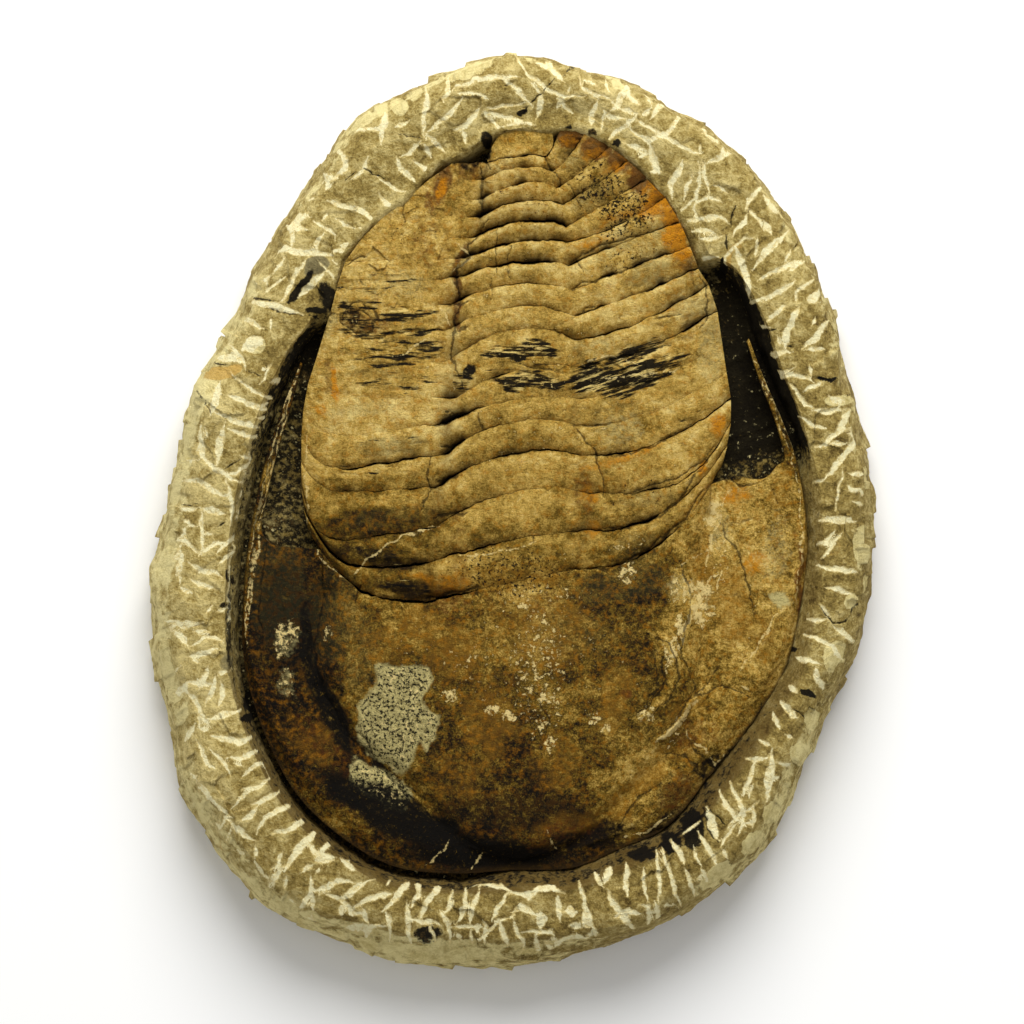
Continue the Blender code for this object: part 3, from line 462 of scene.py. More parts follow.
# Chisel marks on the rim: width, then the points that the mark runs through
CHISEL_MARKS = (
    (2, -29, 142, -28.5, 135, -29.3, 130, -29, 124), (2.2, -28, 126, -22, 131, -16.5, 138),
    (2, -28.5, 125.5, -25, 122.5, -22, 120), (2, -21.5, 144.5, -21.5, 140, -23, 137),
    (2, -19.5, 140.5, -13, 143.5, -5, 145, 3, 144.5), (1.5, -18, 139.2, -12, 139.2, -8, 137),
    (1.6, -3.5, 145, 1, 141, 5.5, 137, 7, 134.5), (1.6, -10, 133.5, -3, 131.5, 3, 130.5, 8, 128.5),
    (1.5, -10, 133.5, -7, 130.5, -3, 126.3), (2.2, -10.5, 134.5, -14, 129.5, -19, 127),
    (1.3, -9, 134.3, -1, 135, 5, 136), (1.2, -4, 128.5, 0, 129, 8, 128.7),
    (2.8, -42.5, 134, -42, 131, -43, 127.5, -43.5, 122.5), (1.8, -53, 127.5, -47, 127.2, -43.5, 126.8),
    (1.6, -38.5, 128.5, -34.5, 130.3), (1.6, -48.3, 118.5, -49, 115, -51, 112, -54, 110),
    (2, -60, 121, -56, 119, -55.5, 115, -58, 112, -61, 111),
    (2, -38.5, 118, -37, 114.5, -33, 110.5, -31, 109.2), (2, -33, 117.5, -29, 114, -26.5, 112),
    (1.8, -31, 123.5, -34, 120, -37, 118), (2, -29.5, 122.5, -27, 118),
    (1.4, -45, 111.5, -40, 108.5, -35, 105.5), (2, -44, 105.5, -42, 102.5, -38, 99.5),
    (2.4, -61, 103.5, -55, 102, -50, 100.5, -46, 97), (1.6, -16.5, 127.5, -15, 123),
    (1.6, 0.5, 152, 5, 146, 9, 143, 13, 140, 18, 137.5, 24, 138.7), (1.4, 6, 143.5, 9, 140, 10, 138.5),
    (2.2, 8, 149.3, 12, 148.5, 15, 145.5, 17, 143),
    (1.3, 22, 145.5, 23, 142.5, 25, 140, 28, 138.3, 31, 138, 34, 135.8), (1.3, 24, 143.8, 28, 141.5),
    (1.2, 31, 144.5, 31.5, 142, 33, 139.7), (1.2, 19, 141.5, 18.5, 139),
    (1.6, 15.5, 137.5, 18, 135, 20, 132.5), (2.2, 10, 139.5, 9.5, 135, 8, 131), (1, 15.5, 136.5, 15, 133.5),
    (2.4, 28.5, 137, 27, 133, 26, 128), (2.8, 39, 143, 37, 139, 36, 136.5, 33, 133.7),
    (1.6, 37.5, 140, 40, 137.5, 42.5, 135), (1.8, 30.5, 134, 33, 131.5, 37.5, 131),
    (2.2, 41.5, 132.5, 38, 128.5, 34, 126, 32, 124), (1.8, 36, 134.5, 41, 132.8), (1.8, 43, 132, 46, 133.8),
    (1.8, 44, 140.5, 46.5, 136.8), (2, 51.5, 137.3, 48.5, 134, 46, 130.7),
    (1.8, 41, 131, 45, 128.5, 50, 125.5, 54, 123, 59, 120.5, 63.5, 118.5),
    (2, 59, 133, 55, 130, 53, 127, 50, 125.5, 45.5, 123.5, 42, 125, 39, 127.5),
    (2, 37.5, 122.5, 42, 121, 45, 120), (2.8, 45.5, 122.5, 46.5, 119, 48.5, 114, 45.5, 112.8),
    (1.3, 31.5, 133.5, 30, 129.5, 29.5, 126.5), (1.6, 42, 118, 45, 119.5),
    (2.8, 57, 117, 54.5, 112, 52.5, 108.5, 53.5, 105), (1.5, 60.5, 112.5, 58.5, 109, 57.5, 104),
    (1.5, 62, 116, 62.5, 112, 61.5, 107, 61, 104, 58, 101.5, 55, 100), (1.5, 63.3, 116.5, 64, 112, 65.5, 107),
    (1.3, 67, 109, 70, 107.5, 72, 106), (1.5, 60, 100, 62, 103, 65, 105, 70, 103.5),
    (2, 63, 128.5, 66, 125, 69, 121.5, 71, 120.5), (2, 74, 120, 70, 118.5, 66, 116.5, 64, 115.5),
    (1.2, 61.5, 119.5, 63, 122), (1.4, 60.5, 100.5, 61, 98), (1.8, 57, 96.8, 62, 97.5, 69, 98, 72, 96),
    (1.8, 59, 93.5, 64, 93.8, 68, 92.5), (1.8, 62, 90.5, 67, 90.5, 70, 92), (1.8, 61.5, 84.5, 68, 84.5),
    (1.8, 60.5, 80.7, 68.5, 80.7), (1.8, 84, 109.5, 81.5, 107, 79, 104, 78, 101),
    (1.8, 84, 106, 86, 102, 88.5, 98), (1.5, 79, 101, 82, 97.5, 83.5, 94), (2.6, 84, 96.5, 86, 93),
    (2.4, 93, 94.5, 90, 91.5, 86, 88, 83, 84.5, 80.5, 80.5), (1.4, 93, 88, 91.5, 84.5, 90.5, 82.5),
    (2, 98, 84, 92, 82, 86, 79, 82, 76.8), (1.8, 97, 83, 92, 80.2), (1.8, 81.5, 91, 81, 85),
    (2.8, 74.5, 88, 76, 84, 78, 78, 79.5, 72), (1.5, 71, 80, 71, 85, 74, 88, 77.5, 91, 80, 91),
    (1.8, 73.5, 92, 76, 95, 78.5, 99.5), (2.2, 94, 77, 90, 74.5, 86, 71.5, 84, 69.5),
    (1.8, 100, 77.5, 97, 74.5, 94.5, 73), (2, 88, 106, 90, 101, 92, 99),
    (2.2, 102.5, 76, 102, 73, 99.5, 71, 102.5, 69), (1.4, 94, 73, 94.5, 70),
    (2, 84, 71, 79, 69.5, 76.5, 68.5), (2, 90.5, 68.3, 87, 66, 85.3, 63.5),
    (2.8, 95.5, 68, 93, 63.5, 91, 58, 91, 54), (2.4, 106, 64.5, 103, 61, 100, 57, 97, 54.5),
    (1.8, 81, 65, 83, 61.5, 86, 61.5), (1.4, 83.5, 60.5, 80.3, 57), (1.5, 100.8, 64.5, 99.5, 62.5),
    (1.5, 88.5, 58.5, 89, 55.5), (1.8, 81.5, 52.3, 88, 52.5, 93, 53.5), (1.8, 98, 54, 104, 54),
    (1.6, 84, 49.5, 87, 47, 90, 46.3, 94, 48), (1.5, 99, 49, 99.5, 45.5),
    (1.6, 86, 44, 91, 45, 95, 45.5, 99, 44.5, 100, 43), (1.8, 103, 43.3, 100, 41.5, 97.5, 40.5),
    (1.8, 91.5, 42.5, 95, 39.5, 98, 36, 101, 34), (2.2, 100, 33.5, 106, 33.5, 111, 34),
    (2.4, 113.5, 35, 111, 31, 107.5, 26, 104, 22.5, 101, 22), (1.8, 96, 31.5, 99, 29, 104, 28),
    (2, 117.5, 26.5, 114, 22, 110.5, 18), (1.6, 106, 22.5, 111, 23), (3, 106, 38, 110, 36.5),
    (1.5, 110, 29, 112, 27, 115, 25), (2.6, 117.5, 26.5, 113, 21.5, 108, 16, 104.5, 11),
    (1.8, 104.5, 11, 100.5, 10), (1.2, 110, 14, 109, 10, 108.5, 5, 108, 1.5), (1.8, 112, 13, 117, 12.8),
    (1.6, 112, 8.5, 114.5, 6), (1.6, 115, 7.5, 118, 5.5), (1.8, 113.5, 3, 117, 2),
    (3, 102.5, -3, 107, -2.5, 112, -2.5, 115, -3), (1.8, 107.5, -6.5, 104.5, -10, 101, -11),
    (1.8, 110, -7, 107, -10, 103, -15), (2.2, 101, -18, 106, -18.5, 115, -20),
    (1.8, 104, -25, 109, -25.5, 113, -27.5), (1.8, 102.5, -31, 106, -35), (1.8, 98, -36, 105, -36),
    (2, 96, -40.5, 101, -41.5, 106, -44.5, 111, -50), (1.8, 107, -38, 112, -42, 116, -44),
    (2.2, 93, -47, 97, -49, 102, -50.5), (2.4, 100.5, -52, 102, -56, 104.5, -59), (2, 92, -57.5, 95, -60),
    (2.4, 89, -62, 92, -66, 94.5, -68.5), (1.6, 86.5, -67, 89, -72), (1.8, 91, -74.5, 93, -75.5),
    (1.8, 82, -75.5, 86, -77.5), (2, 78, -82, 81, -82.5, 85, -81),
    (2.4, 86.5, -79, 86, -84, 85.5, -89, 84.5, -96.5), (2.2, 80.5, -82.5, 79.5, -87, 78, -91, 77, -94.5),
    (1.8, 88, -83, 92, -84.5, 95, -87), (1.6, 85.5, -88.5, 89, -88.5), (1.4, 79.8, -91, 79, -95),
    (1.8, 72, -89.5, 75, -95, 76.5, -100, 76.8, -104, 75.5, -107),
    (2, 69.2, -93, 71.5, -98, 74, -101, 76.5, -103.5), (1.2, 82, -96.5, 78, -99, 74.5, -101.5, 71, -106),
    (1.5, 75.5, -103, 71, -108, 69, -111), (1.8, 80, -98, 80.5, -102, 80.5, -105),
    (1.8, 77.5, -103.5, 80, -103.8, 81, -102), (2, 62, -106.5, 64, -110, 66.5, -114, 68.3, -117.5),
    (2.2, 53.5, -109.5, 56, -114, 57, -117), (1.5, 60.5, -111, 61.5, -115, 62.8, -118),
    (1.8, 57.3, -118.5, 59, -122.5, 60.5, -127.5),
    (1.8, 49.8, -111, 51.5, -117, 53.5, -122, 54, -127, 56, -131),
    (1.8, 47.5, -111.5, 48.5, -118, 49, -124, 49, -130), (1.8, 62.8, -119, 65, -123),
    (1.5, 69.5, -112, 71.5, -115), (1.2, 63, -120, 61.5, -123), (3.4, 65, -99, 66.5, -104, 68.5, -108.5),
    (1.3, 56, -107, 60, -104.8, 62.5, -103), (2.6, 0, -126.5, 6, -127.5, 9, -125.5, 14, -124.8, 17, -126.5),
    (1.8, 22, -123, 23.5, -127, 24, -131, 26, -135, 27.5, -140), (2, 27.5, -120, 30, -124.5),
    (2.2, 33, -118, 31, -123.5), (2.4, 38, -117, 38, -122, 38.3, -127.5),
    (1.6, 43.5, -118.5, 44, -124, 45, -129.5), (1.6, 42.5, -131, 45, -131.5, 46, -135, 45.3, -138),
    (2.4, 31.5, -125.5, 33, -129, 36, -133, 40, -139, 42, -139.5), (2.8, 35, -134.5, 39, -133, 43, -134.2),
    (2, 47.5, -129.5, 48, -133, 49.5, -136.5), (1.6, 50, -131.3, 55, -131.5),
    (2.2, 15.3, -127.5, 15.5, -132, 16, -136), (4, 18, -133, 21, -133), (2.6, 19, -137.5, 23, -138),
    (2.2, 24, -132, 24.5, -137, 28, -138.5), (3.6, 9.5, -133, 10, -138), (2.4, 0, -133, 3, -131, 8, -134.5),
    (1.8, 4, -140, 9, -139.5, 13, -139.5, 14.5, -142), (1.8, 7, -140, 8.5, -144, 9, -149),
    (2.2, 11, -144, 16, -143.5, 21, -141, 25, -142.5, 27, -145.5), (1.8, 12, -144.3, 16, -147, 18, -148.5),
    (1.8, 25, -141.5, 29.5, -141.5), (1.8, 0, -136, 2, -140, 4, -143, 4, -146),
    (1.8, -64, -127, -58, -122.5, -54, -122.3, -52.5, -123.2),
    (2.4, -62, -127, -57, -129, -53, -133.5, -49, -133.5), (2.4, -50, -122.5, -54, -127, -57, -129),
    (1.6, -46.5, -122.5, -51, -124.5, -55, -128.5), (2.2, -57, -131, -57, -135),
    (2.2, -53, -131.5, -50, -130, -45, -128, -39, -126.5), (2, -50, -132, -48, -137),
    (2.2, -58, -139.5, -50, -138.5, -41, -137.8), (1.8, -41.5, -132.5, -40.5, -137, -41, -143),
    (1.4, -48.3, -138, -48.3, -142), (2.4, -32.5, -121, -37, -126, -40, -130, -43, -132.5),
    (2.2, -31.5, -120.5, -31, -127, -33.5, -131.5), (2.4, -22, -121, -25, -125, -29, -131, -31, -136),
    (2.2, -35, -130, -34.5, -138, -34, -144.5), (1.8, -35, -134.5, -31, -136, -26, -136.5, -24, -137.5),
    (1.4, -28, -137, -25.5, -143), (2.2, -20, -126, -20.5, -131, -22.5, -134),
    (1.8, -24, -133, -21, -137, -20.5, -144), (1.8, -15.5, -124, -15.5, -131, -18.5, -137),
    (2.2, -11, -126, -13, -131, -14.5, -137.5), (1.8, -14, -124.2, -8, -124.3, -2, -125.5, 3, -127),
    (1.8, -1.5, -126.5, -4, -130.5, -6.5, -136), (1.6, -19, -138, -12, -138.5),
    (3, -12.2, -138.5, -10.5, -138.5), (1.8, -18.5, -140, -17, -143), (1.6, -14, -139.5, -13.5, -144),
    (1.4, -13, -143, -9, -140.5, -6, -138, -4.5, -135.5, 0, -134), (1.6, -9.5, -136, -8.5, -143),
    (2.4, -4, -136, -3, -140, -1.5, -145), (1.2, 0, -135.5, 2, -140), (1.2, -42, -124.5, -40, -122),
    (2, -57, -115.5, -54, -118, -52, -118.8), (1.5, -48, -117, -45, -116, -45, -119),
    (2, -10, -121.5, -5, -121), (2.2, -110, -87, -105, -89, -103, -92, -101, -95, -97, -98.5, -93, -101.5),
    (2.2, -96.5, -101, -93, -104, -89, -107.5, -85.5, -109), (1.4, -101, -103, -97, -104.5, -95, -104),
    (1.3, -99, -106, -95.5, -105), (1.2, -93, -105.5, -95, -109.5),
    (2.2, -85, -107, -82, -102, -78, -99.5, -71.5, -96.5),
    (2.2, -66.5, -101.5, -71, -104, -75, -106, -80, -107),
    (2.8, -64.5, -105, -68, -109, -73, -115, -76, -119.5), (2.4, -76, -117.5, -78, -120, -80.5, -124.5),
    (2, -69, -109.5, -65, -113.5, -59, -115), (2, -58.5, -109, -61, -111, -65, -113.5),
    (1.2, -65, -106, -62, -107), (3.2, -65, -115.5, -60, -116), (1.6, -76.5, -113, -78, -117, -80, -119),
    (2, -90, -92, -85, -91.5, -80, -88.5), (1.6, -81, -89, -80, -87, -82.5, -85),
    (1.6, -93, -98.5, -89, -94, -86, -92.5), (2.4, -86, -97, -81, -95, -77, -93.5),
    (2.4, -84.5, -98, -87, -101, -89.5, -103), (2, -94, -82, -90, -81.8, -86, -80, -83.5, -79.5),
    (1.6, -89.5, -87.5, -85, -84, -80, -83.5), (1.6, -85, -111, -85.5, -115),
    (1.8, -86, -116, -83, -120, -80.5, -123), (1.6, -66, -117, -70, -119.5), (1.5, -64, -118.5, -65, -120),
    (1.6, -75, -121, -75.5, -125.5), (2.2, -67, -121, -67, -127, -71, -132.5),
    (1.4, -66.5, -127, -66.5, -133), (1.8, -66.5, -126.5, -61, -124, -58, -122),
    (1.4, -79, -125, -75, -128.5, -70, -132), (1.4, -69, -134, -60, -140), (1.4, -93.5, -112.5, -88, -115.5),
    (2.6, -115, -36.5, -109, -37.5, -103, -37), (2.6, -114.5, -38.5, -111, -41, -108, -44),
    (1.4, -106, -40, -101, -40), (1.6, -107, -45, -103, -42, -99, -41.5, -96, -43),
    (2.4, -107.5, -48, -103, -47, -98, -45.5), (1.2, -106, -48.5, -104, -50), (1.4, -113, -53.5, -110.5, -51),
    (2, -101, -51.5, -103, -56, -104, -59), (2.2, -99, -54, -99.5, -59, -101.5, -64),
    (2.2, -97, -56, -96, -61, -97.5, -64.5), (1.6, -98, -53.5, -94, -53),
    (2.2, -109, -57, -103, -57, -99, -57), (2.4, -109, -58.5, -105.5, -62, -103.5, -67, -103.5, -71),
    (3.4, -116, -62, -111, -59.5, -108, -57.5), (1.6, -103.5, -66, -101.5, -70, -100, -71.5),
    (2.4, -101, -69, -96, -67.5, -90, -65.5), (2.4, -105, -70.5, -107, -73, -110, -77),
    (1.8, -104, -72, -101, -72.3), (2.6, -100, -74.5, -95, -75.5, -91, -76.5, -85.5, -74.8),
    (2, -105, -76, -102.5, -80, -101, -84, -99.5, -85), (1.4, -100.5, -78.5, -98, -81, -95, -84, -93.5, -88),
    (1.2, -92, -84, -89.5, -84.5), (1.2, -109, 17, -104.5, 17),
    (2.4, -110, 10.3, -104.5, 10.5, -100, 7.5, -94.5, 5),
    (1.8, -95.5, 10.5, -94, 8, -93.5, 3, -93, 0, -93.5, -4.5), (1.8, -111, 2, -109.5, 1, -104, 1.5),
    (2.4, -103, 1.2, -98, 0.2, -95.5, -0.5), (1.8, -103, 1, -103, -6, -103, -12, -104, -14),
    (1.6, -109.5, -2, -107, -4.5, -105, -4.8), (1.2, -109.5, -4, -109, -9),
    (1.8, -113, -8, -108, -10.5, -104, -13.5), (1.8, -104, -13.5, -99, -11, -95, -10),
    (1.8, -98, -14, -94, -9.5, -90, -7.5), (1.8, -97.5, -17.5, -92, -13),
    (1.8, -110, -10.5, -110.3, -17, -111, -24), (1.4, -113, -15.7, -110.5, -15.7),
    (2.4, -107.5, -17, -104, -19, -100, -20, -97, -21.5), (2, -107, -22.5, -103, -24, -99, -25.5),
    (2, -111, -25.2, -106.5, -26.8), (2, -103.5, 22, -102.5, 17.5, -99, 14.5, -94, 11.5, -89.5, 9.5),
    (1.6, -85.5, 19, -88, 16, -92, 13, -96, 12.5), (1.4, -90, 18.5, -86, 18), (1.4, -101.5, -6, -100, -8),
    (1.2, -102, -34, -100, -31), (1.4, -98.5, -33, -95.5, -31.8),
    (2.6, -88, 71, -82, 69, -76, 67.5, -70, 65.5), (2.2, -90.5, 64, -87, 63.5, -83, 61.5),
    (1.2, -80.5, 64.5, -80.5, 60.5), (5, -89, 54, -85, 57, -83.5, 56),
    (1.8, -94.5, 56, -92, 54, -89, 49, -88.5, 47.5), (3.5, -98, 51, -93, 52, -89, 50),
    (1.4, -93.5, 46.5, -90, 43, -86, 40.5, -84, 39.5, -81, 38), (1.2, -80, 49, -83.5, 42.5),
    (1.8, -80, 43.5, -75, 43.8), (1.6, -83, 48, -82.5, 46.8),
    (1.8, -83.5, 39.5, -80, 37.8, -77, 39, -74.5, 39), (2.4, -94, 38.5, -88, 36, -82, 34.2),
    (1.4, -84, 35.2, -80, 36), (2.2, -99, 33.5, -95, 31.5, -90, 29.5, -84, 28.3), (1.8, -85, 31.5, -80, 31),
    (1.8, -94, 27.5, -90, 26, -85, 25, -83, 22), (1.6, -82, 29.5, -84, 25),
    (2.2, -103.5, 29, -103, 23, -103, 18, -101, 15.5), (2.2, -95.7, 29.5, -97, 24, -98, 18, -98, 15.5),
    (1.2, -102, 28, -100.5, 24.5), (3, -97.5, 43, -98, 38, -100.5, 32),
    (2.4, -68, 110.3, -62, 111.2, -58, 111.2), (1.4, -62.5, 119.5, -61.5, 117.5, -63, 116),
    (1.8, -66.5, 109, -67.5, 105), (1.6, -60, 109.5, -62.5, 107), (1.4, -69, 104.3, -67, 104, -65, 104.7),
    (2, -75, 98, -71, 98.5, -67, 98.5), (2, -68, 100.5, -71, 97.5, -72.5, 94, -73.5, 88.5),
    (1.6, -78, 94, -73, 94, -68, 93.8), (1.4, -61.5, 100, -62.5, 97.5),
    (1.5, -66, 97.5, -62, 94.5, -59, 92, -59, 90.5), (1.4, -58.5, 97.5, -56, 95.8, -52, 94.5),
    (1.8, -63, 93, -65, 89, -65, 86.5), (2.8, -82, 87.5, -76, 87.3, -68, 86.2, -60, 85.5),
    (2.2, -57, 88.5, -52, 89), (1.6, -60, 86.5, -55, 87.5), (2.4, -50.5, 94.5, -47.5, 92, -45, 90.5),
    (1.4, -75.5, 84.5, -78, 81, -81.5, 78, -84.5, 75), (1.3, -75, 78.5, -78.5, 75.5, -83, 72.5),
    (1.6, -68, 84, -71, 80.5, -73, 77, -76, 71, -77, 69), (2.4, -62.5, 80, -66, 76.5, -71, 71.5),
    (1.2, -64, 83, -60, 79, -56.5, 75), (1.5, -59.5, 84, -57.5, 81.5, -55.5, 79), (1.2, -51, 92.5, -52, 90),
)

# Patches on the slab, in the same form as those on the fossil
SLAB_PATCHES = {
    "black": (
        (60, -105, 4, 7, 0, 1), (53, -110, 3.5, 4, 0, 0.9), (43, -114, 4.5, 2.2, 0, 0.9),
        (-28, -140.5, 4.5, 3, 0, 0.9), (98.5, -60.3, 3, 1, -25, 1.2), (92.5, -45.5, 1.8, 1, 0, 1),
        (-70, 75, 1.8, 6.5, -38, 1.1), (-61, 71, 3, 6, 20, 0.9), (-65, 67, 4, 1.5, 0, 0.8),
        (-66, 54, 1.5, 5, -12, 1.2), (-71, 49, 4, 2.5, 30, 1), (104.5, 44.2, 2.6, 0.7, -4, 1.3),
        (3.5, 133, 1.6, 1, 20, 1), (-8.5, 124, 2, 2.5, 0, 1.1), (35, 122.5, 1.8, 1.6, 0, 0.9),
        (19, 128.5, 1.8, 0.8, 0, 0.8), (27, 126, 2, 1, 0, 0.8), (70.5, 80, 1.2, 5, 10, 1.1),
        (72, 76, 2.5, 1.5, 0, 1), (-94, -22, 1.3, 3, 20, 0.9), (-96, -31, 1.8, 1, 0, 0.8),
        (-88, -64, 1.6, 4, 10, 1), (-88.5, -68.5, 2.5, 1.2, 0, 1), (-101, -41.3, 1.2, 0.7, 0, 1),
    ),
    "ochre": (
        (-96, 46.5, 6, 2, 14, 1.2), (-99, -110, 3.5, 1.6, -40, 0.8), (107, -12, 3, 3, 0, 0.35),
        (-15, -146.5, 5, 1, -10, 0.5), (-34, -149.5, 4, 2.5, -20, 0.5), (72, 84, 1.5, 4, 0, 0.6),
        (74.5, 88, 2, 4, -40, 0.5),
    ),
    "grey": (
        (-65, 82, 4.5, 3, 20, 1.1), (-72, 52, 4, 3, 0, 0.6), (67.5, 78, 2, 4, 0, 0.7),
        (-95, -50, 2.5, 3, 0, 0.6),
    ),
    "pale": (
        (-59.5, 122.5, 4, 2.5, 50, 1), (-47.5, 132, 7, 2.2, 28, 1), (-37.5, 135.5, 3, 3.5, 30, 1),
        (-33, 140, 2.5, 3, -40, 1), (-14, 147.3, 8.5, 2.8, 20, 1.2), (-25, 143.5, 5, 1.6, 25, 1),
        (4, 151.5, 6, 1, -5, 0.8), (-101, 40, 2.5, 5, -20, 0.9), (-105, 36, 2.5, 8, -12, 1),
        (-110.5, 20, 2.2, 12, -20, 1), (-114.5, 3, 2.4, 11, -16, 1), (-117, -14, 3.4, 10, -4, 1.1),
        (-117.5, -36, 2.6, 2.8, 0, 1), (-117, -52, 2.6, 6.5, 12, 1.2), (-113.5, -61, 3, 2.4, 0, 1.1),
        (-109.3, -67, 1.2, 4, 6, 0.9), (-111.8, -85, 1.6, 9, 10, 1), (-104.7, -100, 2.6, 5.5, 22, 1.2),
        (-93.5, -119, 1.4, 3, 30, 1), (-87, -126.5, 4.5, 3.4, -42, 1.1), (-76, -132.5, 6, 3.4, -36, 1.1),
        (-46, -145.3, 6.5, 2.4, -14, 1), (-20, -148.6, 13, 3.4, -4, 1.2), (9, -149.8, 9, 1, 3, 0.9),
        (68, -121, 7, 2.8, 42, 1), (80, -110, 5, 2.6, 42, 1), (87, -100, 4.5, 3, 52, 1),
        (95.5, -80.5, 3.4, 4, -20, 1), (100, -69, 1.8, 3.4, -20, 1), (107, -48, 3.5, 6, -25, 0.8),
        (116, -12, 2.2, 8, 4, 0.9), (113, -30, 2.2, 3, 0, 0.9), (108.5, 36.8, 4, 1.7, 0, 1.1),
        (118.5, 12, 1.4, 6, -8, 0.8), (89.5, 102, 1.4, 5, 34, 0.9), (118, -25, 1.4, 4, 0, 0.8),
        (-85, 55.5, 3, 3.4, 0, 0.9), (-87, 76, 1.6, 3.5, -20, 1), (31, 146, 3, 1, -30, 0.8),
        (35, 142.5, 3, 1.2, -30, 0.8),
    ),
}

# Cracks of the slab and pale flecks on its wall: width, then the points that each runs through
SLAB_CRACKS = (
    (0.9, -88, 71.8, -83, 71, -79.5, 70), (0.7, -81, 67.5, -76, 66.3, -70, 65),
    (0.8, -67, 65.3, -64, 64, -62.5, 63.3), (1.1, 74, 101, 73, 98, 72.7, 94.5), (1.2, 71.3, 92, 71.2, 87),
    (1.3, 69, 82, 70, 78, 72.5, 75.5), (1.2, 101.5, 44.6, 106.5, 44),
    (1.1, 17, 145, 19.5, 147.5, 21.5, 148.3), (0.7, 10, 139.7, 6.5, 136), (1.2, 5.5, 134.5, 3.5, 132.5),
    (0.6, 14, 144, 11, 140.8), (0.7, -37, 125.8, -34, 125, -31, 124.5),
    (0.7, -49, 114.2, -46.5, 112, -43, 111.5), (0.6, -56, 110, -52, 113.2),
    (0.8, 102, -31, 105, -35, 107, -37, 110, -37, 113, -34, 116, -30, 118, -26), (0.7, 94, -66, 97, -69),
    (0.6, 88, 61, 85, 60.3), (0.7, 66, -99.5, 68, -101, 70.5, -104),
    (0.8, 62, -96, 64, -99, 65, -105, 68, -109), (0.6, 66.5, 109, 69, 108.5),
    (1.4, -91.2, -16, -92.3, -25, -94, -40, -94.5, -50), (1, -91.8, -30, -91.8, -50),
    (0.7, 94, 55, 91.5, 55.3), (0.7, -113, 6, -110, 7), (0.8, -98, -5, -96, -3.5), (0.6, -110, 2.3, -105, 3),
    (0.6, -95, 14.5, -90, 17.5), (0.9, -80, 38, -85, 24, -88.5, 8, -90.5, -8),
    (0.8, -84, 22, -87, 8, -89, -6), (0.9, -90.6, -18, -91.6, -34, -91.4, -50),
    (0.8, -93.6, -20, -95, -36, -94, -54), (0.6, -84, 45, -88, 47), (0.9, -99, 49, -95, 49.6),
    (0.6, 82, -56.5, 86, -60), (0.8, -104, 40, -100, 33),
    (1.2, 66, -99.5, 61, -103, 55, -107, 48, -111.5, 41, -114.5),
    (1.3, 94, -48, 88, -58, 83, -66, 77, -75, 70, -85, 63, -94),
)
SLAB_FLECKS = (
    (1, -77, 40, -82, 26, -85.5, 12, -88.5, 0), (0.9, -87.5, 20, -90, 6, -91.5, -8, -92, -20),
    (0.8, -86, 14, -88, 4, -90, -8), (0.8, -93, -10, -94.5, -26, -94.8, -42),
    (0.9, -89.8, -24, -91.2, -40, -90.5, -54), (1.2, -90.4, -14, -90.8, -25, -92, -40, -92.5, -52),
    (0.8, -93.2, -35, -93.2, -52), (1, -89, -6, -89.8, -20),
)

# Compass angle and share: how far the hollow is still filled with rock beside the ribs, how black
# its wall is, by black stain and painted shade, and how pale the slab's side is
HOLLOW_FILL = (
    (0, 0.6), (7, 0.6), (12, 0), (50, 0), (54, 1), (133, 1), (138, 0), (262, 0), (272, 0.6), (360, 0.6),
)
WALL_STAIN_AND_SHADE = (
    (0, 0.3), (8, 0.3), (15, 0.95), (30, 1), (44, 0.95), (52, 0.3), (60, 0.1), (124, 0.1), (134, 0.45),
    (140, 0.8), (160, 0.6), (172, 0.45), (180, 0.4), (205, 0.42), (218, 0.42), (232, 0.35), (245, 0.45),
    (262, 0.5), (285, 0.4), (300, 0.5), (320, 0.25), (345, 0.15), (360, 0.3),
)
SIDE_PALE = (
    (0, 0.36), (20, 0.42), (30, 0.45), (45, 0.4), (60, 0.3), (90, 0.35), (105, 0.45), (120, 0.42),
    (135, 0.36), (148, 0.55), (165, 0.52), (180, 0.48), (200, 0.52), (215, 0.46), (235, 0.5), (255, 0.58),
    (275, 0.5), (290, 0.3), (305, 0.5), (320, 0.48), (340, 0.3), (360, 0.36),
)

# Compass angle and height of the ledge of rock where the hollow is still filled
LEDGE_HEIGHT = (
    (0, 29.5), (12, 29.5), (52, 31), (60, 33.4), (75, 34.5), (90, 34.7), (108, 34.8), (120, 34.5),
    (128, 33.6), (134, 32), (180, 28), (268, 27.5), (300, 28.5), (345, 29.5), (360, 29.5),
)


def colour(red, green, blue):
    """A screen colour, each channel from 0 to 255, as Blender's linear values."""
    shares = [channel / 255 for channel in (red, green, blue)]
    return tuple(share / 12.92 if share < 0.04045 else ((share + 0.055) / 1.055) ** 2.4 for share in shares)


def smooth_step(low, high, value):
    """0 at low, 1 at high, and a smooth rise between: 3s^2 - 2s^3 of the share s."""
    share = np.clip((value - low) / (high - low), 0, 1)
    return share * share * (3 - 2 * share)


def catmull_rom(a, b, c, d, t):
    """Point at the share t of the way from b to c, on the cubic whose slopes there are half of the
    steps from a to c and from b to d."""
    return 0.5 * (2 * b + (c - a) * t + (2 * a - 5 * b + 4 * c - d) * t**2 + (3 * b - a - 3 * c + d) * t**3)


def spline(points, closed=False):
    """Catmull-Rom curve through the points, CURVE_STEPS to a span."""
    knots = np.array(points, float)
    if closed:
        knots = np.vstack([knots[-1], knots, knots[:2]])
    else:
        knots = np.vstack([2 * knots[0] - knots[1], knots, 2 * knots[-1] - knots[-2]])
    t = np.linspace(0, 1, CURVE_STEPS, endpoint=False)[:, None]
    spans = zip(knots[:-3], knots[1:-2], knots[2:-1], knots[3:])
    curve = np.vstack([catmull_rom(*span, t) for span in spans])
    return curve if closed else np.vstack([curve, knots[-2]])


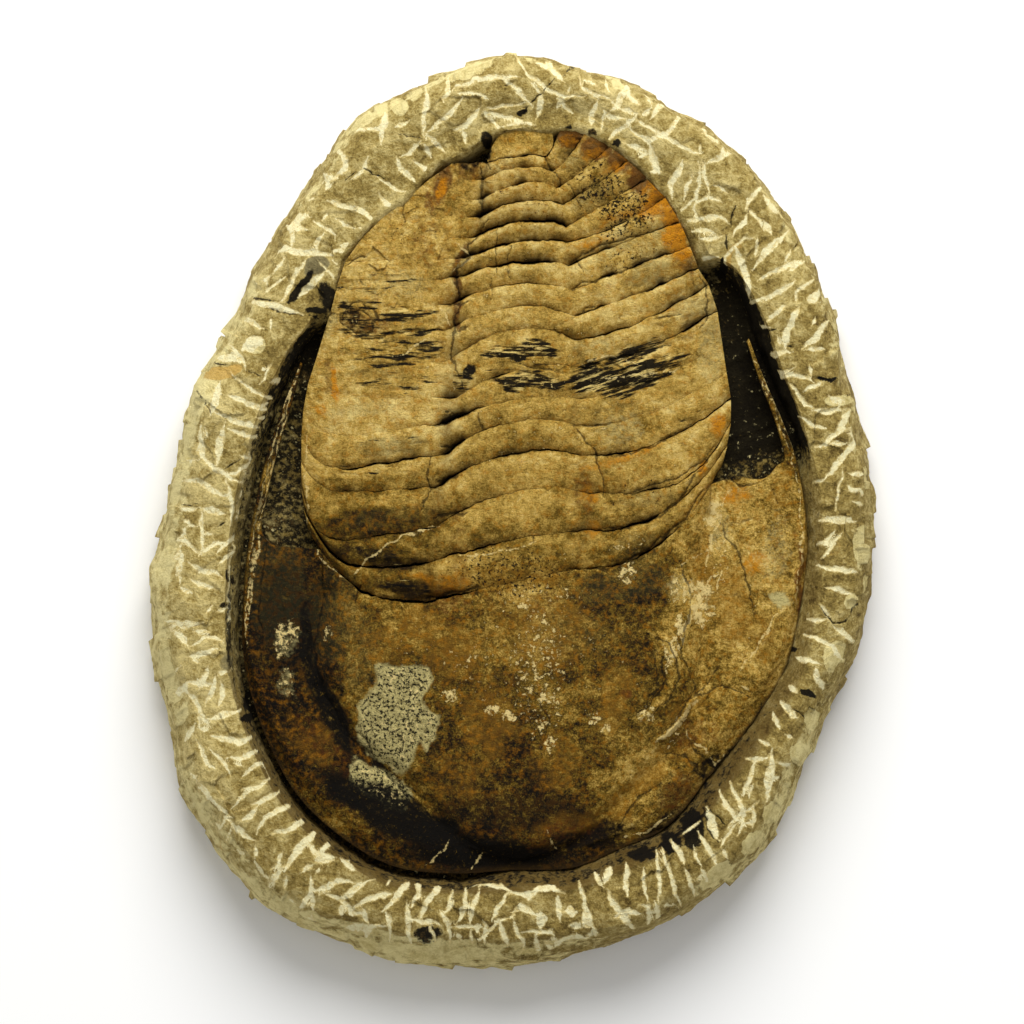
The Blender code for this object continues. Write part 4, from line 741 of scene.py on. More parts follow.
def along(curve, shares):
    """Points at the given shares of a curve's length."""
    length = np.concatenate([[0], np.cumsum(np.hypot(*np.diff(curve, axis=0).T))])
    at = np.asarray(shares) * length[-1]
    return np.column_stack([np.interp(at, length, curve[:, 0]), np.interp(at, length, curve[:, 1])])


def radius_at(points, angles):
    """Distance from the origin to a closed outline, in each compass direction."""
    curve = spline(points, closed=True)
    return np.interp(angles, np.arctan2(curve[:, 1], curve[:, 0]), np.hypot(*curve.T), period=2 * math.pi)


def width_at(table, angles):
    """Reads a table of compass angle and width at each angle."""
    degrees, widths = np.array(table, float).T
    return np.interp(np.degrees(angles) % 360, degrees, widths)


def lattice(cells, seed):
    """A repeatable draw from 0 to 1 for each row of whole numbers, by mixing their bits."""
    mixed = (cells @ np.array(CELL_FACTORS)[: cells.shape[1]] + seed * SEED_FACTOR) & LOW_BITS
    for shift, factor in MIX_STEPS:
        mixed = ((mixed ^ (mixed >> shift)) * factor) & LOW_BITS
    return ((mixed ^ (mixed >> LAST_SHIFT)) & DRAW_BITS) / DRAW_BITS


def noise(points, size, seed, octaves=3):
    """Fractal noise from about -1 to 1: draws at the corners of a lattice, `size` mm apart, blended
    smoothly between, and each further octave half the size and half the height of the last."""
    total = np.zeros(len(points))
    for octave in range(octaves):
        spot = points * (2**octave / size) + OCTAVE_SHIFT * octave
        cell = np.floor(spot).astype(np.int64)
        part = smooth_step(0, 1, spot - cell)
        for corner in product((0, 1), repeat=points.shape[1]):
            share = np.prod(np.where(corner, part, 1 - part), axis=1)
            total += 0.5**octave * share * (2 * lattice(cell + corner, seed + octave) - 1)
    return total


def pushed_about(points, amount, size, seed):
    """The points, each moved along x and y by two noises of the given height and size in mm."""
    return points + amount * np.column_stack([noise(points, size, seed), noise(points, size, seed + 1)])


def hump(value, middle, width):
    """A smooth hump, 1 at its middle: e to the power of minus the square of (value - middle) / width."""
    return np.exp(-(((value - middle) / width) ** 2))


def chips(points, size, seed, tilt):
    """Height of a surface broken into flat chips about `size` mm across: each point takes the tilted
    plane of its nearest jittered lattice point, with `tilt` as the steepest slope."""
    spot = points / size
    cell = np.floor(spot).astype(np.int64)
    nearest = np.full(len(points), np.inf)
    height = np.zeros(len(points))
    for corner in product((-1, 0, 1), repeat=2):
        there = cell + corner
        offset = spot - there - np.column_stack([lattice(there, seed), lattice(there, seed + 1)])
        gap = (offset**2).sum(axis=1)
        slopes = np.column_stack([lattice(there, seed + 2), lattice(there, seed + 3)]) * 2 - 1
        plane = (offset * slopes).sum(axis=1) * size * tilt
        height = np.where(gap < nearest, plane, height)
        nearest = np.minimum(nearest, gap)
    return height


def close_to(points, corners, reach):
    """Whether each point lies within `reach` of the box round the corners."""
    return ((points > corners.min(axis=0) - reach) & (points < corners.max(axis=0) + reach)).all(axis=1)


def from_side(points, start, end):
    """For each point, the share of the way from start to end where it comes nearest, and how far off
    it lies there."""
    step = end - start
    share = np.clip((points - start) @ step / (step @ step), 0, 1)
    return share, np.hypot(*(points - start - share[:, None] * step).T)


def distance_to(points, line):
    """Shortest distance from each point to a line through the given corners."""
    return np.min([from_side(points, start, end)[1] for start, end in zip(line[:-1], line[1:])], axis=0)


def lines_at(points, key, lines, reach=3.0, fullness=0.8):
    """Three fields of the nearest line: how far inside it each point lies, in mm, negative outside it
    and no less than -`reach`; the point's signed offset from the middle of the line, which stays exact
    between the points of a mesh; and half the line's width. A line is a width, times the fullness,
    and the points that it runs through, and tapers to its ends."""
    inside = np.full(len(points), -float(reach))
    offset = np.full(len(points), float(reach))
    half_width = np.zeros(len(points))
    for width, *flat in lines:
        corners = np.array(flat, float).reshape(-1, 2)
        steps = np.hypot(*np.diff(corners, axis=0).T)
        passed = np.concatenate([[0], np.cumsum(steps)]) / steps.sum()
        near = np.flatnonzero(close_to(points, corners, reach))
        local = points[near]
        for start, end, low, high in zip(corners[:-1], corners[1:], passed[:-1], passed[1:]):
            share, gap = from_side(local, start, end)
            step = end - start
            across = (local - start) @ (-step[1], step[0]) / np.hypot(*step)
            taper = 1 - 0.8 * np.abs(2 * (low + (high - low) * share) - 1) ** 2.4
            half = fullness * width / 2 * taper
            nearer = half - gap > inside[near]
            inside[near[nearer]] = (half - gap)[nearer]
            offset[near[nearer]] = across[nearer]
            half_width[near[nearer]] = half[nearer]
    return {key: inside, f"{key}_offset": offset, f"{key}_half": half_width}


def patches_at(points, patches):
    """Strength of the strongest patch at each point: full to 0.6 of its radius and gone at 1.4."""
    strongest = np.zeros(len(points))
    for x, y, half_width, half_height, turn, strength in patches:
        angle = math.radians(turn)
        offset = points - (x, y)
        across = offset[:, 0] * math.cos(angle) + offset[:, 1] * math.sin(angle)
        up = offset[:, 1] * math.cos(angle) - offset[:, 0] * math.sin(angle)
        radius = np.hypot(across / half_width, up / half_height)
        strongest = np.maximum(strongest, strength * smooth_step(1.4, 0.6, radius))
    return strongest


def ring_edge(row, u):
    """Edge between two body rings: x and y for u from -1, the left tip, to 1, the right tip."""
    (tip_x, tip_y, sag, power), (left_x, left_y, crown, right_x, right_y), (sweep, end_x, end_y) = row
    left = np.clip((-u - AXIS_SHARE) / (1 - AXIS_SHARE), 0, 1)
    right = np.clip((u - AXIS_SHARE) / (1 - AXIS_SHARE), 0, 1)
    across = np.clip((u / AXIS_SHARE + 1) / 2, 0, 1)
    bow = 1 - np.abs(2 * across - 1) ** 2.4
    x = left_x + (right_x - left_x) * across + (tip_x - left_x) * left + (end_x - right_x) * right
    y = left_y + (right_y - left_y) * across + (crown - (left_y + right_y) / 2) * bow
    y += sag * left + (tip_y - left_y - sag) * left**power
    y += (end_y - right_y) * right**sweep
    return np.column_stack([x, y])


def worn_edge(index, u):
    """A ring edge with the small wobble of broken shell, the same for both rings that meet there."""
    line = ring_edge(RING_EDGES[index], u)
    line[:, 1] += 0.35 * noise(line[:, :1], 5, 40 + index) + 0.15 * noise(line[:, :1], 1.3, 80 + index)
    return line


def openness(index, u):
    """How open a ring edge is at u, from 0 to 1."""
    broken = 1 + 0.5 * noise(u[:, None] * 70, 6, 90 + index)
    return np.clip(np.interp(u, EDGE_STATIONS, EDGE_OPENNESS[index]) * broken, 0, 1)


def crevice_side(index, u, side, settings):
    """One side of the gap along a ring edge: +1 is the tailward side and -1 the headward one. Half the
    gap is a hair's breadth and half the widest crevice, times the square of how open the edge is."""
    line = worn_edge(index, u)
    line[:, 1] += side * (0.02 + settings.crevice / MM / 2 * openness(index, u) ** 2)
    return line


def thorax_height(u, v, place, tail_open, head_open):
    """Height of a body ring: a vaulted axis, a furrow each side and ribs that fall to the margin.

    v runs from the tailward edge, which stands proud where it is open, to the headward one, which dips.
    `place` is how far along the body the point lies, from the tail to the head.
    """
    across = np.clip(np.abs(u) / AXIS_SHARE, 0, 1)
    out = np.clip((np.abs(u) - AXIS_SHARE) / (1 - AXIS_SHARE), 0, 1)
    margin = TAIL_MARGIN + (THORAX_MARGIN - TAIL_MARGIN) * smooth_step(0.3, 0.75, place)
    axis = (AXIS_CREST - AXIS_FURROW) * (1 - across**2) ** 0.7
    rib = RIB_BULGE * np.sin(math.pi * out**0.7)
    fall = (AXIS_FURROW - margin) * out**2.2
    lip = tail_open * (1.0 * (1 - v) ** 2 - 1.1 * (1 - v) ** 14)
    dip = head_open * 2.6 * v**3
    belly = 1 - (2 * v - 1) ** 2
    lobes = belly * (1.3 * hump(u, 0.03 - AXIS_SHARE, 0.05) + 0.5 * hump(u, AXIS_SHARE, 0.04))
    worn = (lip - dip) * (1 - 0.35 * out) - TAIL_DROP * (1 - place) ** 2
    return AXIS_FURROW + axis + rib - fall + lobes + worn


def ring_dirt_and_shade(u, v, below, tail_open, head_open):
    """Share of dirt and painted shade on a body ring: it gathers in the last few mm before an open
    headward edge, where the ring dips away from the light, on the lip of the tailward one and in the
    furrow each side of the axis, the left one more."""
    dirt = head_open * (0.5 * hump(below, 0, 1.1) + 0.45 * hump(below, 0, 3.0))
    dirt += tail_open * smooth_step(0.05, 0, v) * 0.7
    furrow = 0.7 * hump(u, -AXIS_SHARE, 0.045) + 0.35 * hump(u, AXIS_SHARE, 0.03)
    return dirt + furrow * 0.5


def head_height(points, edge_share):
    """Height of the head plate: a flat border, a furrow along the ogive and a vaulted middle."""
    ogive = spline(HEAD_OGIVE)[::OGIVE_THINNING]
    gap = distance_to(points, ogive)
    turn = np.argmin(ogive[:, 1])
    left, right = ogive[: turn + 1][::-1], ogive[turn:]
    left_x = np.interp(points[:, 1], np.maximum.accumulate(left[:, 1]), left[:, 0])
    right_x = np.interp(points[:, 1], np.maximum.accumulate(right[:, 1]), right[:, 0])
    inside = (points[:, 0] > left_x) & (points[:, 0] < right_x) & (points[:, 1] > ogive[turn, 1])
    vault = (HEAD_CREST - HEAD_BORDER) * (1 - np.exp(-gap / VAULT_RUN))
    furrow = OGIVE_DEPTH * hump(gap, 0, OGIVE_WIDTH)
    roll = BORDER_ROLL * smooth_step(0.88, 1, edge_share)
    eye = np.hypot(*((points - EYE_MIDDLE) / EYE_RADII).T)
    mound = EYE_HEIGHT * np.exp(-1.5 * eye**2)
    return HEAD_BORDER + np.where(inside, vault, 0) - furrow - roll + mound


def shapes_at(points, shapes, reach=3.0):
    """How far inside the nearest closed shape each point lies, in mm, and negative outside it, no
    further than `reach`. A point is inside where a line to the right of it crosses an odd number of
    sides."""
    inside = np.full(len(points), -reach)
    for flat in shapes:
        corners = np.array(flat, float).reshape(-1, 2)
        near = close_to(points, corners, reach)
        local = points[near]
        closed = np.vstack([corners, corners[:1]])
        odd = np.zeros(len(local), bool)
        for start, end in zip(closed[:-1], closed[1:]):
            spans = (local[:, 1] > start[1]) != (local[:, 1] > end[1])
            slope = (end[0] - start[0]) / (end[1] - start[1] or 1)
            odd ^= spans & (local[:, 0] < start[0] + (local[:, 1] - start[1]) * slope)
        gap = np.minimum(distance_to(local, closed), reach)
        inside[near] = np.maximum(inside[near], np.where(odd, gap, -gap))
    return inside


def painted_tone(points):
    """Tone of the shell from 0, light tan, to 1, near black: each soft patch draws it to its own."""
    tone = np.interp(points[:, 1], (-45, -20, 20, 60), (0.62, 0.5, 0.33, 0.34))
    for *patch, target in TONES:
        tone += (target - tone) * patches_at(points, ((*patch, 1),))
    return tone


def fossil_fields(points):
    """Relief in mm and the stains and lines of the fossil at each point of its plan. The relief adds
    lumps, fibres, chips, plates, ridges and veins, and takes away the bare patches and the cracks."""
    wavy = pushed_about(points, 1.6, 8, 1)
    rugged = pushed_about(points, 0.8, 4, 3)
    fields = {name: patches_at(wavy, patches) for name, patches in PATCHES.items()}
    fields.update(lines_at(rugged, "crack", CRACKS))
    fields.update(lines_at(rugged, "vein", VEINS))
    fields["bare"] = shapes_at(wavy, BARE_SHAPES)
    bared = smooth_step(-0.5, 1, fields["bare"]) * smooth_step(80, 60, points[:, 0])
    fields["speckle"] = np.maximum(np.maximum(fields["speckle"], 0.5), 1.13 * bared)
    fields["crystal"] = np.maximum(fields["crystal"], 0.8 * bared)
    fields["across"] = points[:, 1] - 0.28 * np.clip(points[:, 0] - 15, 0, None)
    on_body = smooth_step(-30, -10, points[:, 1])
    fields["fibre"] = np.maximum(fields["fibre"], 0.1 * on_body)
    streak = noise(np.column_stack([points[:, 0] * 0.16, fields["across"]]), 1.5, 11, 2)
    ribbed = smooth_step(12, 26, np.abs(points[:, 0])) * on_body
    ridged = lines_at(rugged, "ridge", RIDGES)["ridge"]
    fields["tone"] = painted_tone(pushed_about(points, 3, 14, 8)) + 0.04 * ribbed * streak
    fields["tone"] += 0.06 * noise(points, 20, 5) + 0.12 * noise(points, 4, 10)
    fields["tone"] -= 0.16 * smooth_step(-0.6, 0.8, ridged)
    flaky = patches_at(wavy, FLAKY)
    relief = 0.25 * noise(points, 9, 6, 4) + 0.12 * noise(points, 2, 7, 2)
    relief += (0.4 * fields["fibre"] + 0.08 * ribbed) * streak
    relief += (0.35 + flaky) * chips(wavy, 5, 51, 0.13) + 0.4 * (0.2 + flaky) * chips(wavy, 2.2, 55, 0.2)
    relief += PLATE_LIFT * smooth_step(-0.4, 0.4, shapes_at(rugged, PLATE_SHAPES))
    relief += RIDGE_LIFT * smooth_step(-0.8, 1.2, ridged)
    relief -= BARE_DEPTH * smooth_step(-0.4, 0.4, fields["bare"])
    relief -= CRACK_DEPTH * smooth_step(-0.5, 0.2, fields["crack"])
    relief += VEIN_LIFT * smooth_step(-0.3, 0.3, fields["vein"])
    return relief, fields


def solid_from_grid(name, top, fields, material):
    """Closed solid: a grid of rows by columns on top, walls down to a flat seat, and the seat's own
    faces ruled from the first row to the last. The attributes of the walls are those of the edge."""
    rows, columns = top.shape[:2]
    surface = top.reshape(-1, 3)
    seat = np.vstack([top[0], top[-1]])
    seat[:, 2] = SEAT_HEIGHT
    index = np.arange(rows * columns).reshape(rows, columns)
    first = rows * columns + np.arange(columns)
    last = first + columns
    quads = np.vstack([
        strip(index[:-1], index[1:]),
        strip(first[None], index[:1]),
        strip(index[-1:], last[None]),
        strip(last[None], first[None]),
    ])
    ends = [[*index[::-1, 0], first[0], last[0]], [*index[:, -1], last[-1], first[-1]]]
    edge = np.concatenate([index[0], index[-1]])
    values = {key: np.append(value, value[edge]) for key, value in fields.items()}
    return add_piece(name, np.vstack([surface, seat]), quads.tolist() + ends, values, material)


def strip(upper, lower):
    """Quads between two rows of point numbers, or between two stacks of rows."""
    return np.stack([upper[:, :-1], lower[:, :-1], lower[:, 1:], upper[:, 1:]], axis=-1).reshape(-1, 4)


def new_object(name, data):
    """Puts a mesh, light or camera into the scene as an object."""
    made = bpy.data.objects.new(name, data)
    bpy.context.scene.collection.objects.link(made)
    return made


def add_piece(name, points, faces, values, material):
    """Makes the mesh object, in metres, with its attributes, shaded smooth up to a sharp angle."""
    mesh = bpy.data.meshes.new(name)
    mesh.from_pydata(points * MM, [], faces)
    for key, value in values.items():
        mesh.attributes.new(key, "FLOAT", "POINT").data.foreach_set("value", value.astype(np.float32))
    mesh.materials.append(material)
    mesh.shade_smooth()
    mesh.set_sharp_from_angle(angle=math.radians(SHARP_ANGLE))
    return new_object(name, mesh)


def settle(piece, node):
    """Attaches a finished piece to the root body and hides the solid that it stands for."""
    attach(piece, "root")
    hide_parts(node)


def feed(tree, value, socket):
    """Gives a socket a number, a colour or another node's output."""
    if isinstance(value, bpy.types.NodeSocket):
        tree.links.new(value, socket)
    else:
        socket.default_value = value


def add_node(tree, kind, *values, **options):
    """Adds a shader node with its options, and feeds its inputs in order; None leaves one alone."""
    made = tree.nodes.new(f"ShaderNode{kind}")
    for key, option in options.items():
        setattr(made, key, option)
    for socket, value in zip(made.inputs, values):
        if value is not None:
            feed(tree, value, socket)
    return made


def maths(tree, operation, *values):
    """Output of a Math node."""
    return add_node(tree, "Math", *values, operation=operation).outputs[0]


def remap(tree, value, low, high, to_low=0.0, to_high=1.0):
    """Output of a smooth Map Range node."""
    made = add_node(tree, "MapRange", value, low, high, to_low, to_high, interpolation_type="SMOOTHSTEP")
    return made.outputs[0]


def blend(tree, share, first, second):
    """Output of a colour Mix node."""
    made = add_node(tree, "Mix", share, data_type="RGBA")
    for socket, value in ((made.inputs[6], first), (made.inputs[7], second)):
        feed(tree, value if isinstance(value, bpy.types.NodeSocket) else (*value, 1), socket)
    return made.outputs[2]


def laid_over(tree, tint, shade, mask, strength):
    """A tint with a shade laid over it, where the mask is and at the given strength."""
    return blend(tree, maths(tree, "MULTIPLY", mask, strength), tint, shade)


def ramp(tree, value, stops):
    """Output of a Colour Ramp node with a position and a colour for each stop."""
    made = add_node(tree, "ValToRGB", value)
    elements = made.color_ramp.elements
    for position, _ in stops[1:-1]:
        elements.new(position)
    for element, (position, tint) in zip(elements, stops):
        element.position = position
        element.color = (*tint, 1)
    return made.outputs[0]


def field(tree, name):
    """Output of the node that reads one of the mesh's attributes."""
    return add_node(tree, "Attribute", attribute_name=name).outputs[2]


def shader_group(name, inputs, outputs):
    """Starts a node group of number sockets, and gives its tree, its inputs and its outputs."""
    group = bpy.data.node_groups.new(name, "ShaderNodeTree")
    for label, value in inputs:
        group.interface.new_socket(label, in_out="INPUT", socket_type="NodeSocketFloat").default_value = value
    for label in outputs:
        group.interface.new_socket(label, in_out="OUTPUT", socket_type="NodeSocketFloat")
    entry = group.nodes.new("NodeGroupInput")
    leave = group.nodes.new("NodeGroupOutput")
    return group, entry.outputs, leave.inputs


def noise_in_mm(tree, size, detail=4.0, roughness=0.6):
    """Value of a noise texture on Object coordinates, with lumps about `size` mm across."""
    place = add_node(tree, "TexCoord").outputs["Object"]
    scale = maths(tree, "DIVIDE", 1 / MM, size)
    return add_node(tree, "TexNoise", place, None, scale, detail, roughness).outputs[0]


def stone_grain(name):
    """Stone grain: a tone from 0 to 1, from a coarse and a fine noise."""
    group, given, out = shader_group(name, (("Size", 6.0), ("Contrast", 1.0)), ("Tone",))
    coarse = noise_in_mm(group, given["Size"])
    fine = noise_in_mm(group, maths(group, "DIVIDE", given["Size"], 3.0), 4.0, 0.75)
    both = maths(group, "MULTIPLY_ADD", fine, 0.55, maths(group, "MULTIPLY", coarse, 0.45))
    swing = maths(group, "SUBTRACT", both, 0.5)
    centred = maths(group, "MULTIPLY", swing, maths(group, "MULTIPLY", given["Contrast"], 3.0))
    group.links.new(maths(group, "ADD", centred, 0.5), out["Tone"])
    return group


def frayed_mask(name):
    """Ragged mask: a field pushed about by noise, then cut at an edge with some softness."""
    inputs = (("Field", 0.0), ("Edge", 0.5), ("Softness", 0.1), ("Fray", 0.5), ("Size", 2.0))
    group, given, out = shader_group(name, inputs, ("Mask",))
    lumps = maths(group, "SUBTRACT", noise_in_mm(group, given["Size"], 5.0, 0.65), 0.5)
    pushed = maths(group, "MULTIPLY_ADD", lumps, given["Fray"], given["Field"])
    low = maths(group, "SUBTRACT", given["Edge"], given["Softness"])
    high = maths(group, "ADD", given["Edge"], given["Softness"])
    group.links.new(remap(group, pushed, low, high), out["Mask"])
    return group


def ragged_line(name):
    """Ragged line: from a point's offset from the middle of the line, half the line's width and how
    far inside it lies, which ends the line."""
    inputs = (
        ("Inside", -3.0), ("Offset", 3.0), ("Half", 0.0),
        ("Edge", 0.0), ("Softness", 0.2), ("Fray", 0.5), ("Size", 1.0),
    )
    group, given, out = shader_group(name, inputs, ("Mask",))
    side = maths(group, "SUBTRACT", given["Half"], maths(group, "ABSOLUTE", given["Offset"]))
    held = maths(group, "MINIMUM", side, maths(group, "ADD", given["Inside"], LINE_SLACK))
    lumps = maths(group, "SUBTRACT", noise_in_mm(group, given["Size"], 4.0, 0.65), 0.5)
    frayed = maths(group, "MULTIPLY_ADD", lumps, given["Fray"], held)
    pushed = maths(group, "SUBTRACT", frayed, given["Edge"])
    low = maths(group, "MULTIPLY", given["Softness"], -1.0)
    group.links.new(remap(group, pushed, low, given["Softness"]), out["Mask"])
    return group


def fibre_streaks(name):
    """Streaks that run along the ribs: a noise squeezed across them, gathered where the amount is high."""
    inputs = (("Amount", 0.0), ("Across", 0.0), ("Size", 1.0))
    group, given, out = shader_group(name, inputs, ("Dark", "Light"))
    along_x = add_node(group, "SeparateXYZ", add_node(group, "TexCoord").outputs["Object"]).outputs[0]
    squeezed = maths(group, "MULTIPLY", along_x, 0.14)
    place = add_node(group, "CombineXYZ", squeezed, maths(group, "MULTIPLY", given["Across"], MM)).outputs[0]
    scale = maths(group, "DIVIDE", 1 / MM, given["Size"])
    streak = add_node(group, "TexNoise", place, None, scale, 4.0, 0.7).outputs[0]
    swing = maths(group, "MULTIPLY", maths(group, "SUBTRACT", streak, 0.5), 3.4)
    dark = maths(group, "ADD", given["Amount"], swing)
    light = maths(group, "SUBTRACT", given["Amount"], swing)
    group.links.new(remap(group, dark, 0.7, 1.1), out["Dark"])
    group.links.new(remap(group, light, 1.2, 1.45), out["Light"])
    return group


def place_group(tree, build, **values):
    """Puts a shader group into a material and feeds its inputs by name. The group is called after the
    function that builds it, and is built once."""
    name = build.__name__.replace("_", " ")
    made = tree.nodes.new("ShaderNodeGroup")
    made.node_tree = bpy.data.node_groups.get(name) or build(name)
    for key, value in values.items():
        feed(tree, value, made.inputs[key])
    return made.outputs


def new_material(name):
    """A material with only its shader and output, and the shader."""
    material = bpy.data.materials.new(name)
    material.use_nodes = True
    return material, material.node_tree, material.node_tree.nodes["Principled BSDF"]


def finish_surface(tree, shader, tint, roughness, height):
    """Feeds the shader its colour, roughness and bump."""
    feed(tree, tint, shader.inputs["Base Color"])
    feed(tree, roughness, shader.inputs["Roughness"])
    shader.inputs["Specular IOR Level"].default_value = STONE_GLOSS
    bump = add_node(tree, "Bump")
    bump.inputs["Strength"].default_value = 1.0
    bump.inputs["Distance"].default_value = BUMP_DEPTH * MM
    feed(tree, height, bump.inputs["Height"])
    feed(tree, bump.outputs[0], shader.inputs["Normal"])


def stained(tree, tint, stains):
    """Lays stains over a tint in turn: attribute, colour, strength, edge, softness, fray, size in mm."""
    for key, shade, strength, edge, softness, fray, size in stains:
        mask = place_group(
            tree, frayed_mask, Field=field(tree, key), Edge=edge, Softness=softness, Fray=fray, Size=size
        )["Mask"]
        tint = laid_over(tree, tint, shade, mask, strength)
    return tint


def lined(tree, tint, lines):
    """Lays the lines that lines_at stores over a tint in turn, by the same values as a stain's."""
    for key, shade, strength, edge, softness, fray, size in lines:
        mask = place_group(
            tree, ragged_line, Inside=field(tree, key), Offset=field(tree, f"{key}_offset"),
            Half=field(tree, f"{key}_half"), Edge=edge, Softness=softness, Fray=fray, Size=size,
        )["Mask"]
        tint = laid_over(tree, tint, shade, mask, strength)
    return tint


def mudstone_material(settings):
    """Olive-tan mudstone: grainy, with painted light on its left and top, cream where the chisel bruised
    it, pale where its sides broke, and black and brown in and near the hollow, by stain, dirt and
    painted shade."""
    material, tree, shader = new_material("chiselled mudstone")
    grain = place_group(tree, stone_grain, Size=14.0, Contrast=1.3)["Tone"]
    fine = place_group(tree, stone_grain, Size=2.2, Contrast=1.5)["Tone"]
    tone = maths(tree, "MULTIPLY_ADD", fine, 0.45, maths(tree, "MULTIPLY", grain, 0.55))
    # Painted light: the tone is raised towards the slab's left and top
    tone = maths(tree, "ADD", tone, field(tree, "painted_light"))
    rim = ((0.1, settings.rim_dark), (0.5, settings.rim_middle), (0.95, settings.rim_light))
    tint = ramp(tree, tone, rim)
    pale = ramp(tree, tone, ((0.1, settings.side_dark), (0.7, settings.side_light)))
    bruise = ramp(tree, fine, ((0.0, settings.chisel_dark), (0.6, settings.chisel_light)))
    black = ramp(tree, tone, ((0.75, settings.black), (1.0, settings.brown)))
    # The first row lays dirt and painted shade near the hollow and towards the bottom; the black row lays
    # black stain and the painted shade of the hollow's wall and floor
    tint = stained(tree, tint, (
        ("dirt", settings.brown, 0.75, 0.5, 0.4, 0.8, 5.0),
        ("grey", settings.grey, 0.7, 0.5, 0.2, 0.9, 3.0),
        ("side", pale, 1.0, 0.5, 0.08, 1.0, 5.0),
        ("ochre", settings.ochre, 0.8, 0.5, 0.2, 0.9, 3.0),
        ("black", black, 0.975, 0.5, 0.2, 1.9, 2.2),
    ))
    tint = lined(tree, tint, (
        ("chisel", settings.chisel_dark, 0.85, 0.0, 0.3, 1.8, 1.6),
        ("chisel", bruise, 0.9, 0.2, 0.15, 1.8, 1.2),
    ))
    tint = stained(tree, tint, (("flecks", settings.side_light, 0.8, 1.25, 0.15, 3.4, 2.2),))
    tint = lined(tree, tint, (("crack", black, 0.92, 0.0, 0.2, 1.6, 1.6),))
    finish_surface(tree, shader, tint, STONE_ROUGHNESS, tone)
    return material


def shell_material(name, settings, spread):
    """Fossil shell: tan to near black by its tone, which varies by the spread, with grey, golden, rust
    and orange patches, bare, pale and black ones, dark dirt and painted shade in its crevices and at its
    edges, dark fibres, black dots, white crystals, cream veins and dark cracks."""
    material, tree, shader = new_material(name)
    grain = place_group(tree, stone_grain, Size=4.0, Contrast=1.0)["Tone"]
    fine = place_group(tree, stone_grain, Size=1.7, Contrast=1.5)["Tone"]
    mottle = maths(tree, "MULTIPLY_ADD", fine, 0.6, maths(tree, "MULTIPLY", grain, 0.4))
    swing = maths(tree, "SUBTRACT", mottle, 0.5)
    tone = maths(tree, "MULTIPLY_ADD", swing, spread * settings.mottling, field(tree, "tone"))
    tint = ramp(tree, tone, (
        (0.0, settings.shell_light), (0.28, settings.shell_tan), (0.58, settings.shell_brown),
        (0.82, settings.shell_dark), (1.0, settings.black),
    ))
    amber = ramp(tree, mottle, ((0.0, settings.rust), (0.45, settings.orange), (1.0, settings.amber)))
    soot = ramp(tree, mottle, ((0.75, settings.black), (1.0, settings.shell_brown)))
    bare = ramp(tree, mottle, ((0.1, settings.bare_dark), (0.55, settings.pale)))
    tint = stained(tree, tint, (
        ("grey", settings.grey, 0.4, 0.5, 0.3, 1.6, 3.0),
        ("gold", settings.gold, 0.45, 0.5, 0.5, 2.4, 4.0),
        ("rust", settings.rust, 0.84, 0.55, 0.5, 2.2, 2.2),
        ("orange", amber, 0.92, 0.5, 0.6, 2.4, 2.0),
        ("bare", bare, 0.95, 0.0, 0.8, 4.5, 2.4),
        ("pale", settings.pale, 0.4, 0.5, 0.3, 1.8, 1.4),
        ("black", soot, 0.985, 0.5, 0.3, 1.7, 2.0),
    ))
    # Dirt and painted shade: the crevice share darkens the shell in the crevices, in the furrows and at the
    # plates' edges
    tint = blend(tree, field(tree, "crevice"), tint, settings.dirt)
    amount, across = field(tree, "fibre"), field(tree, "across")
    streaks = place_group(tree, fibre_streaks, Amount=amount, Across=across, Size=1.5)
    tint = laid_over(tree, tint, soot, streaks["Dark"], 0.98)
    tint = laid_over(tree, tint, settings.shell_light, streaks["Light"], 0.8)
    tint = stained(tree, tint, (
        ("speckle", settings.black, 0.96, 1.25, 0.12, 3.8, 1.0),
        ("crystal", settings.crystal, 0.92, 1.25, 0.2, 3.8, 1.7),
    ))
    tint = lined(tree, tint, (
        ("vein", settings.crystal, 0.7, 0.1, 0.2, 3.0, 1.6),
        ("crack", settings.black, 0.7, 0.0, 0.2, 1.8, 1.6),
    ))
    roughness = remap(tree, grain, 0.0, 1.0, *SHELL_ROUGHNESS)
    finish_surface(tree, shader, tint, roughness, mottle)
    return material


def distance(label, text, value, most):
    """A length property in metres."""
    return bpy.props.FloatProperty(
        name=label, description=text, default=value, min=0, max=most,
        subtype="DISTANCE", unit="LENGTH", precision=5,
    )


def amount(label, text, value, unit="NONE"):
    """A number property, from 0 up."""
    return bpy.props.FloatProperty(name=label, description=text, default=value, min=0, unit=unit)


def tint_property(label, text, *value):
    """A colour property whose default is a screen colour."""
    return bpy.props.FloatVectorProperty(
        name=label, description=text, default=colour(*value), size=3, min=0, max=1, subtype="COLOR"
    )


